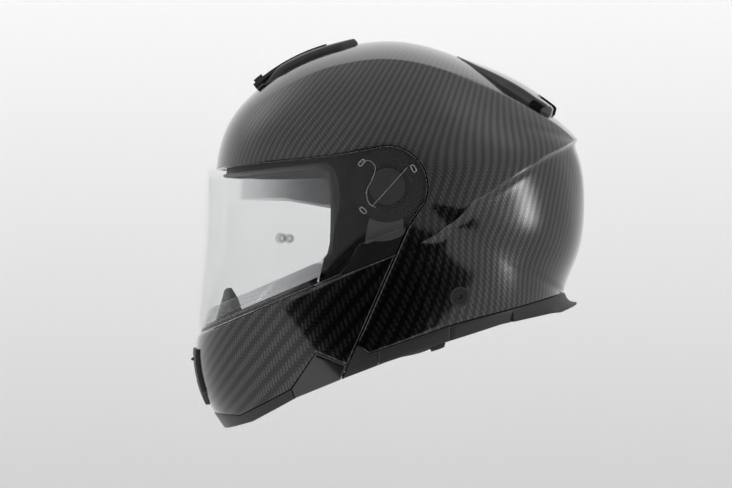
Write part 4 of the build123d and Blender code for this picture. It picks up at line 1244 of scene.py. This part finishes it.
def build_straps():
    """Flat webbing that bends smoothly from the anchor bolts to the buckle."""
    def one(name, nodes, sides):
        side = sides[0]
        end = (24.0, -47, -150.2) if side > 0 else (30.0, -47, -152.7)
        knots = [((100.5, 66, -85), (1, 0.1, -0.25)), ((98.5, 58, -96), (1, 0.1, -0.3)),
                 ((93, 46, -113), (0.85, 0, -0.5)), ((84, 26, -128.5), (0.65, -0.2, -0.75)),
                 ((68, -8, -139), (0.4, -0.2, -0.9)), ((54, -34, -149), (0.3, -0.1, -0.95)),
                 (end, (0, 0, -1))]
        path = spline([k[0] for k in knots], 9)
        face = spline([k[1] for k in knots], 9)
        ahead = unit(np.gradient(path, axis=0))
        across = unit(np.cross(unit(face), ahead))
        face = np.cross(ahead, across)
        half = [(-1, -0.4), (-0.97, -0.9), (-0.88, -1), (-0.5, -0.8), (0, -0.78), (0.5, -0.8), (0.88, -1),
                (0.97, -0.9), (1, -0.4)]
        section = half + [(a, -b) for a, b in half[::-1]]
        loops = [path + across * (11 * a) + face * (0.9 * b) for a, b in section]
        tube(name, np.array(loops), "shell", WEBBING, nodes, sides=sides, closed=False, smooth=50)

    each_side(one, "strap", ("chin_strap",))


def disc_point(angle, radius, x):
    """Point beside the pivot: angle in degrees from the rear, up and over towards the front."""
    return (x, radius * math.cos(deg(angle)), radius * math.sin(deg(angle)))


def wire_loop(name, points, radius, material, closed=False):
    """Fine round bead on the visor's pods, along a path of points in mm, painted bright as a line of light
    along an edge.
    """
    path = np.array(points, float)
    if closed:
        path = np.concatenate([path, path[:1]])
    face = np.array([1.0, 0, 0])
    across = unit(np.cross(face, unit(np.gradient(path, axis=0))))
    turns = np.linspace(0, 2 * math.pi, 9)[:-1]
    loops = [path + radius * (math.cos(t) * across + math.sin(t) * face) for t in turns]
    return tube(name, np.array(loops), "visor", material, (), closed=False)


def pod_ring(name, inner_r, outer_r, top, chamfer):
    """Raised ring round the pivot on each pod, with chamfered upper edges."""
    base, segments = 121.7, 96
    section = [(inner_r, base), (outer_r, base), (outer_r, top - chamfer[1]), (outer_r - chamfer[0], top),
               (inner_r + chamfer[0], top), (inner_r, top - chamfer[1])]
    turns = np.linspace(0, 2 * math.pi, segments, endpoint=False)
    vertices = [(x, r * math.cos(t), r * math.sin(t)) for t in turns for r, x in section]
    n = len(section)
    faces = []
    for i in range(segments):
        here, after = i * n, ((i + 1) % segments) * n
        faces += [(here + k, here + (k + 1) % n, after + (k + 1) % n, after + k) for k in range(n)]
    new_object(name, vertices, faces, "visor", GREY, sides=BOTH_SIDES, smooth=35)


def build_mechanism():
    """Fine parts of the quick-release mechanism that show through the visor."""
    pod_ring("rim_ring", 26.0, 28.6, 123.7, (0.4, 0.5))
    pod_ring("inner_ring", 16.2, 17.6, 123.4, (0.3, 0.4))
    lever = spline([(123.6, -20.5, 19.5), (123.6, -14.5, 21), (123.6, -9.5, 15.5), (123.6, -12, 6),
                     (123.6, -16.5, -3.5), (123.6, -15, -13), (123.6, -9, -17.5)], 8)
    # The beads along the lever, the slot and the guide windows are painted light along their edges.
    wire_loop("lever_edge", lever, 0.28, VISOR_EDGE)
    slot = [(123.7, 16.5, 15.5), (123.7, 0, -3), (123.7, -12.5, -16.5)]
    wire_loop("slot_edge", slot, 0.22, VISOR_EDGE)
    for k, (angle, radius, turn) in enumerate(((137, 28.2, 47), (34, 26.0, -60), (225, 27.5, -42))):
        x, cy, cz = disc_point(angle, radius, 123.9)
        corners = []
        for a in np.linspace(0, 2 * math.pi, 24, endpoint=False):
            u = math.copysign(abs(math.cos(a)) ** 0.5, math.cos(a)) * 3.0
            v = math.copysign(abs(math.sin(a)) ** 0.5, math.sin(a)) * 1.5
            corners.append((x, cy + u * math.cos(deg(turn)) - v * math.sin(deg(turn)),
                            cz + u * math.sin(deg(turn)) + v * math.cos(deg(turn))))
        wire_loop(f"guide_window_{k}", corners, 0.26, WINDOW_EDGE, closed=True)


for build in (build_mechanism, build_shell, build_recess, build_shell_trim, build_gaskets, build_nape_lip,
              build_crown_vent, build_fairing, build_chin, build_chin_trims, build_breath_guard, build_visor,
              build_sun_visor, build_foam_liner, build_crown_pad, build_cheek_pads, build_neck_roll,
              build_chin_liner, build_straps):
    build()


# ------------------------------------------------------------------ finishes for the pieces kept from CAD
FINISHES = {
    "black_gloss": GLOSS, "black_matte": MATTE, "black_rubber": RUBBER, "foam": FOAM, "lining": LINING,
    "webbing": WEBBING, "steel": STEEL, "dark_steel": DARK_STEEL, "grey_plastic": GREY, "clear": CLEAR,
    "smoke": SMOKE, "carbon": CARBON,
}
NODE_FINISHES = {"insert_pins": PIN, "visor_pod_left": GREY, "visor_pod_right": GREY,
                 "chin_bar_arm_left": GLOSS, "chin_bar_arm_right": GLOSS}


def finish_cad_nodes():
    slots = {part["node"]: part["material_slot"] for part in frame["record"]["subparts"]}
    for name, obj in frame["nodes"].items():
        obj.data.materials.clear()
        obj.data.materials.append(NODE_FINISHES.get(name) or FINISHES[slots[name]])


finish_cad_nodes()


# ------------------------------------------------------------------ stage, light and camera
# The camera stands level with the helmet, in metres, square to its left side.
CAMERA_AT = (2.2, -0.01706, -0.04671)
CAMERA_LENS = 125.8
ROOM_LIGHT = 0.72
ROOM_FLOOR = 0.004
WALL_LIGHT = 0.84
# Half the strength of the backdrop's painted glow at its top.
BACKDROP_GLOW = 0.21
# The gap's corners in (azimuth from +X, elevation), clockwise seen from the helmet's right, with softness.
DARK_GAP = [((-36, -17), 2.5), ((-5, -5.5), 3.0), ((21, -4), 3.0), ((40, -8.5), 3.0), ((2, -45), 1.5)]
# Lamps as (direction, angular width in degrees, brightness).
LAMPS = [((0.40, 0.90, 0.035), 7.0, 6.0), ((-0.62, 0.05, 0.78), 30, 0.28), ((-0.30, -0.72, 0.62), 15, 0.5),
         ((0.25, 0.60, 0.75), 14, 0.30), ((1.0, 0.12, 0.16), 28, -0.36)]



def build_look():
    scene = bpy.context.scene
    scene.view_settings.view_transform = "Standard"
    scene.cycles.transparent_max_bounces = 32
    scene.cycles.denoising_input_passes = "RGB"


def build_backdrop():
    """Pale floor that curves up into a wall behind the helmet, with a painted glow that grows brighter higher
    up.
    """
    floor_z, wall_x, bend = -0.70, -2.6, 1.0
    turns = np.linspace(0, math.pi / 2, 24)
    curve = [(wall_x + bend * (1 - math.sin(t)), floor_z + bend * (1 - math.cos(t))) for t in turns]
    profile = [(4.0, floor_z), *curve, (wall_x, 3.5)]
    vertices = [(x, y, z) for y in np.linspace(-5, 5, 21) for x, z in profile]
    n = len(profile)
    faces = [(i + k, i + k + 1, i + n + k + 1, i + n + k) for i in range(0, 20 * n, n) for k in range(n - 1)]
    mesh = bpy.data.meshes.new("backdrop")
    mesh.from_pydata(vertices, [], faces)
    mesh.shade_smooth()
    obj = bpy.data.objects.new("backdrop", mesh)
    bpy.context.scene.collection.objects.link(obj)
    m = Nodes("pale_backdrop_painted_glow")
    height = m.add("ShaderNodeSeparateXYZ", {0: m.place()}).outputs[2]
    # Painted light: the backdrop glows, more strongly higher up, as if lit from above.
    glow = m.add("ShaderNodeMapRange", {0: height, 1: -0.6, 2: 0.45, 3: 0.0, 4: 2.0 * BACKDROP_GLOW})
    m.surface(Base_Color=m.mix(m.noise(1.5), grey(0.80), grey(0.82)), Roughness=0.9,
              Emission_Color=(1, 1, 1, 1), Emission_Strength=glow.outputs[0])
    mesh.materials.append(m.material)
    obj.visible_glossy = False


def studio_world():
    """Even white room with a dark gap low on the camera's side, soft lamps and one soft darker patch.

    It is seen only in reflections: the camera itself sees an even pale grey.
    """
    world = bpy.data.worlds.new("studio")
    bpy.context.scene.world = world
    world.use_nodes = True
    n = Nodes.__new__(Nodes)
    n.tree = world.node_tree
    n.tree.nodes.clear()
    n.out = n.tree.nodes.new("ShaderNodeOutputWorld")
    split = n.add("ShaderNodeSeparateXYZ", {0: n.add("ShaderNodeTexCoord").outputs["Generated"]})
    x, y, z = split.outputs
    az = n.math("DEGREES", n.math("ARCTAN2", y, x))
    el = n.math("DEGREES", n.math("ARCSINE", z))

    def side(a, b, soft):
        """Rises from 0 to 1 across the line from a to b in (azimuth, elevation), on its right-hand side."""
        length = math.dist(a, b)
        nx, ny = (b[1] - a[1]) / length, -(b[0] - a[0]) / length
        gap = n.math("ADD", n.math("MULTIPLY", n.math("SUBTRACT", az, a[0]), nx),
                     n.math("MULTIPLY", n.math("SUBTRACT", el, a[1]), ny))
        step = n.add("ShaderNodeMapRange", {0: gap, 1: -soft / 2, 2: soft / 2, 3: 0.0, 4: 1.0},
                     interpolation_type="SMOOTHSTEP")
        return step.outputs[0]

    inside = None
    for (a, soft), (b, _) in zip(DARK_GAP, DARK_GAP[1:] + DARK_GAP[:1]):
        edge = side(a, b, soft)
        inside = edge if inside is None else n.math("MULTIPLY", inside, edge)
    room = n.math("SUBTRACT", 1.0, inside)
    room = n.math("ADD", n.math("MULTIPLY", room, ROOM_LIGHT), 0.01)

    for aim, width, power in LAMPS:
        size = math.hypot(*aim)
        dot = n.add("ShaderNodeVectorMath", operation="DOT_PRODUCT")
        n.set(dot, 0, n.add("ShaderNodeTexCoord").outputs["Generated"])
        n.set(dot, 1, tuple(v / size for v in aim))
        gap = n.math("DIVIDE", n.math("SUBTRACT", dot.outputs["Value"], 1.0), 1 - math.cos(deg(width)))
        room = n.math("ADD", room, n.math("MULTIPLY", n.math("EXPONENT", gap), power))
    room = n.math("MAXIMUM", room, ROOM_FLOOR)
    seen = n.add("ShaderNodeLightPath").outputs["Is Camera Ray"]
    value = n.blend(seen, room, WALL_LIGHT)
    shader = n.add("ShaderNodeBackground", {"Color": (1, 1, 1, 1), "Strength": value})
    n.tree.links.new(shader.outputs[0], n.out.inputs[0])


def build_camera():
    camera = bpy.data.cameras.new("camera")
    camera.sensor_width = 36.0
    camera.lens = CAMERA_LENS
    camera.clip_end = 50.0
    obj = bpy.data.objects.new("camera", camera)
    obj.location = CAMERA_AT
    obj.rotation_euler = (math.pi / 2, 0, math.pi / 2)
    bpy.context.scene.collection.objects.link(obj)
    bpy.context.scene.camera = obj


build_look()
build_backdrop()
studio_world()
build_camera()
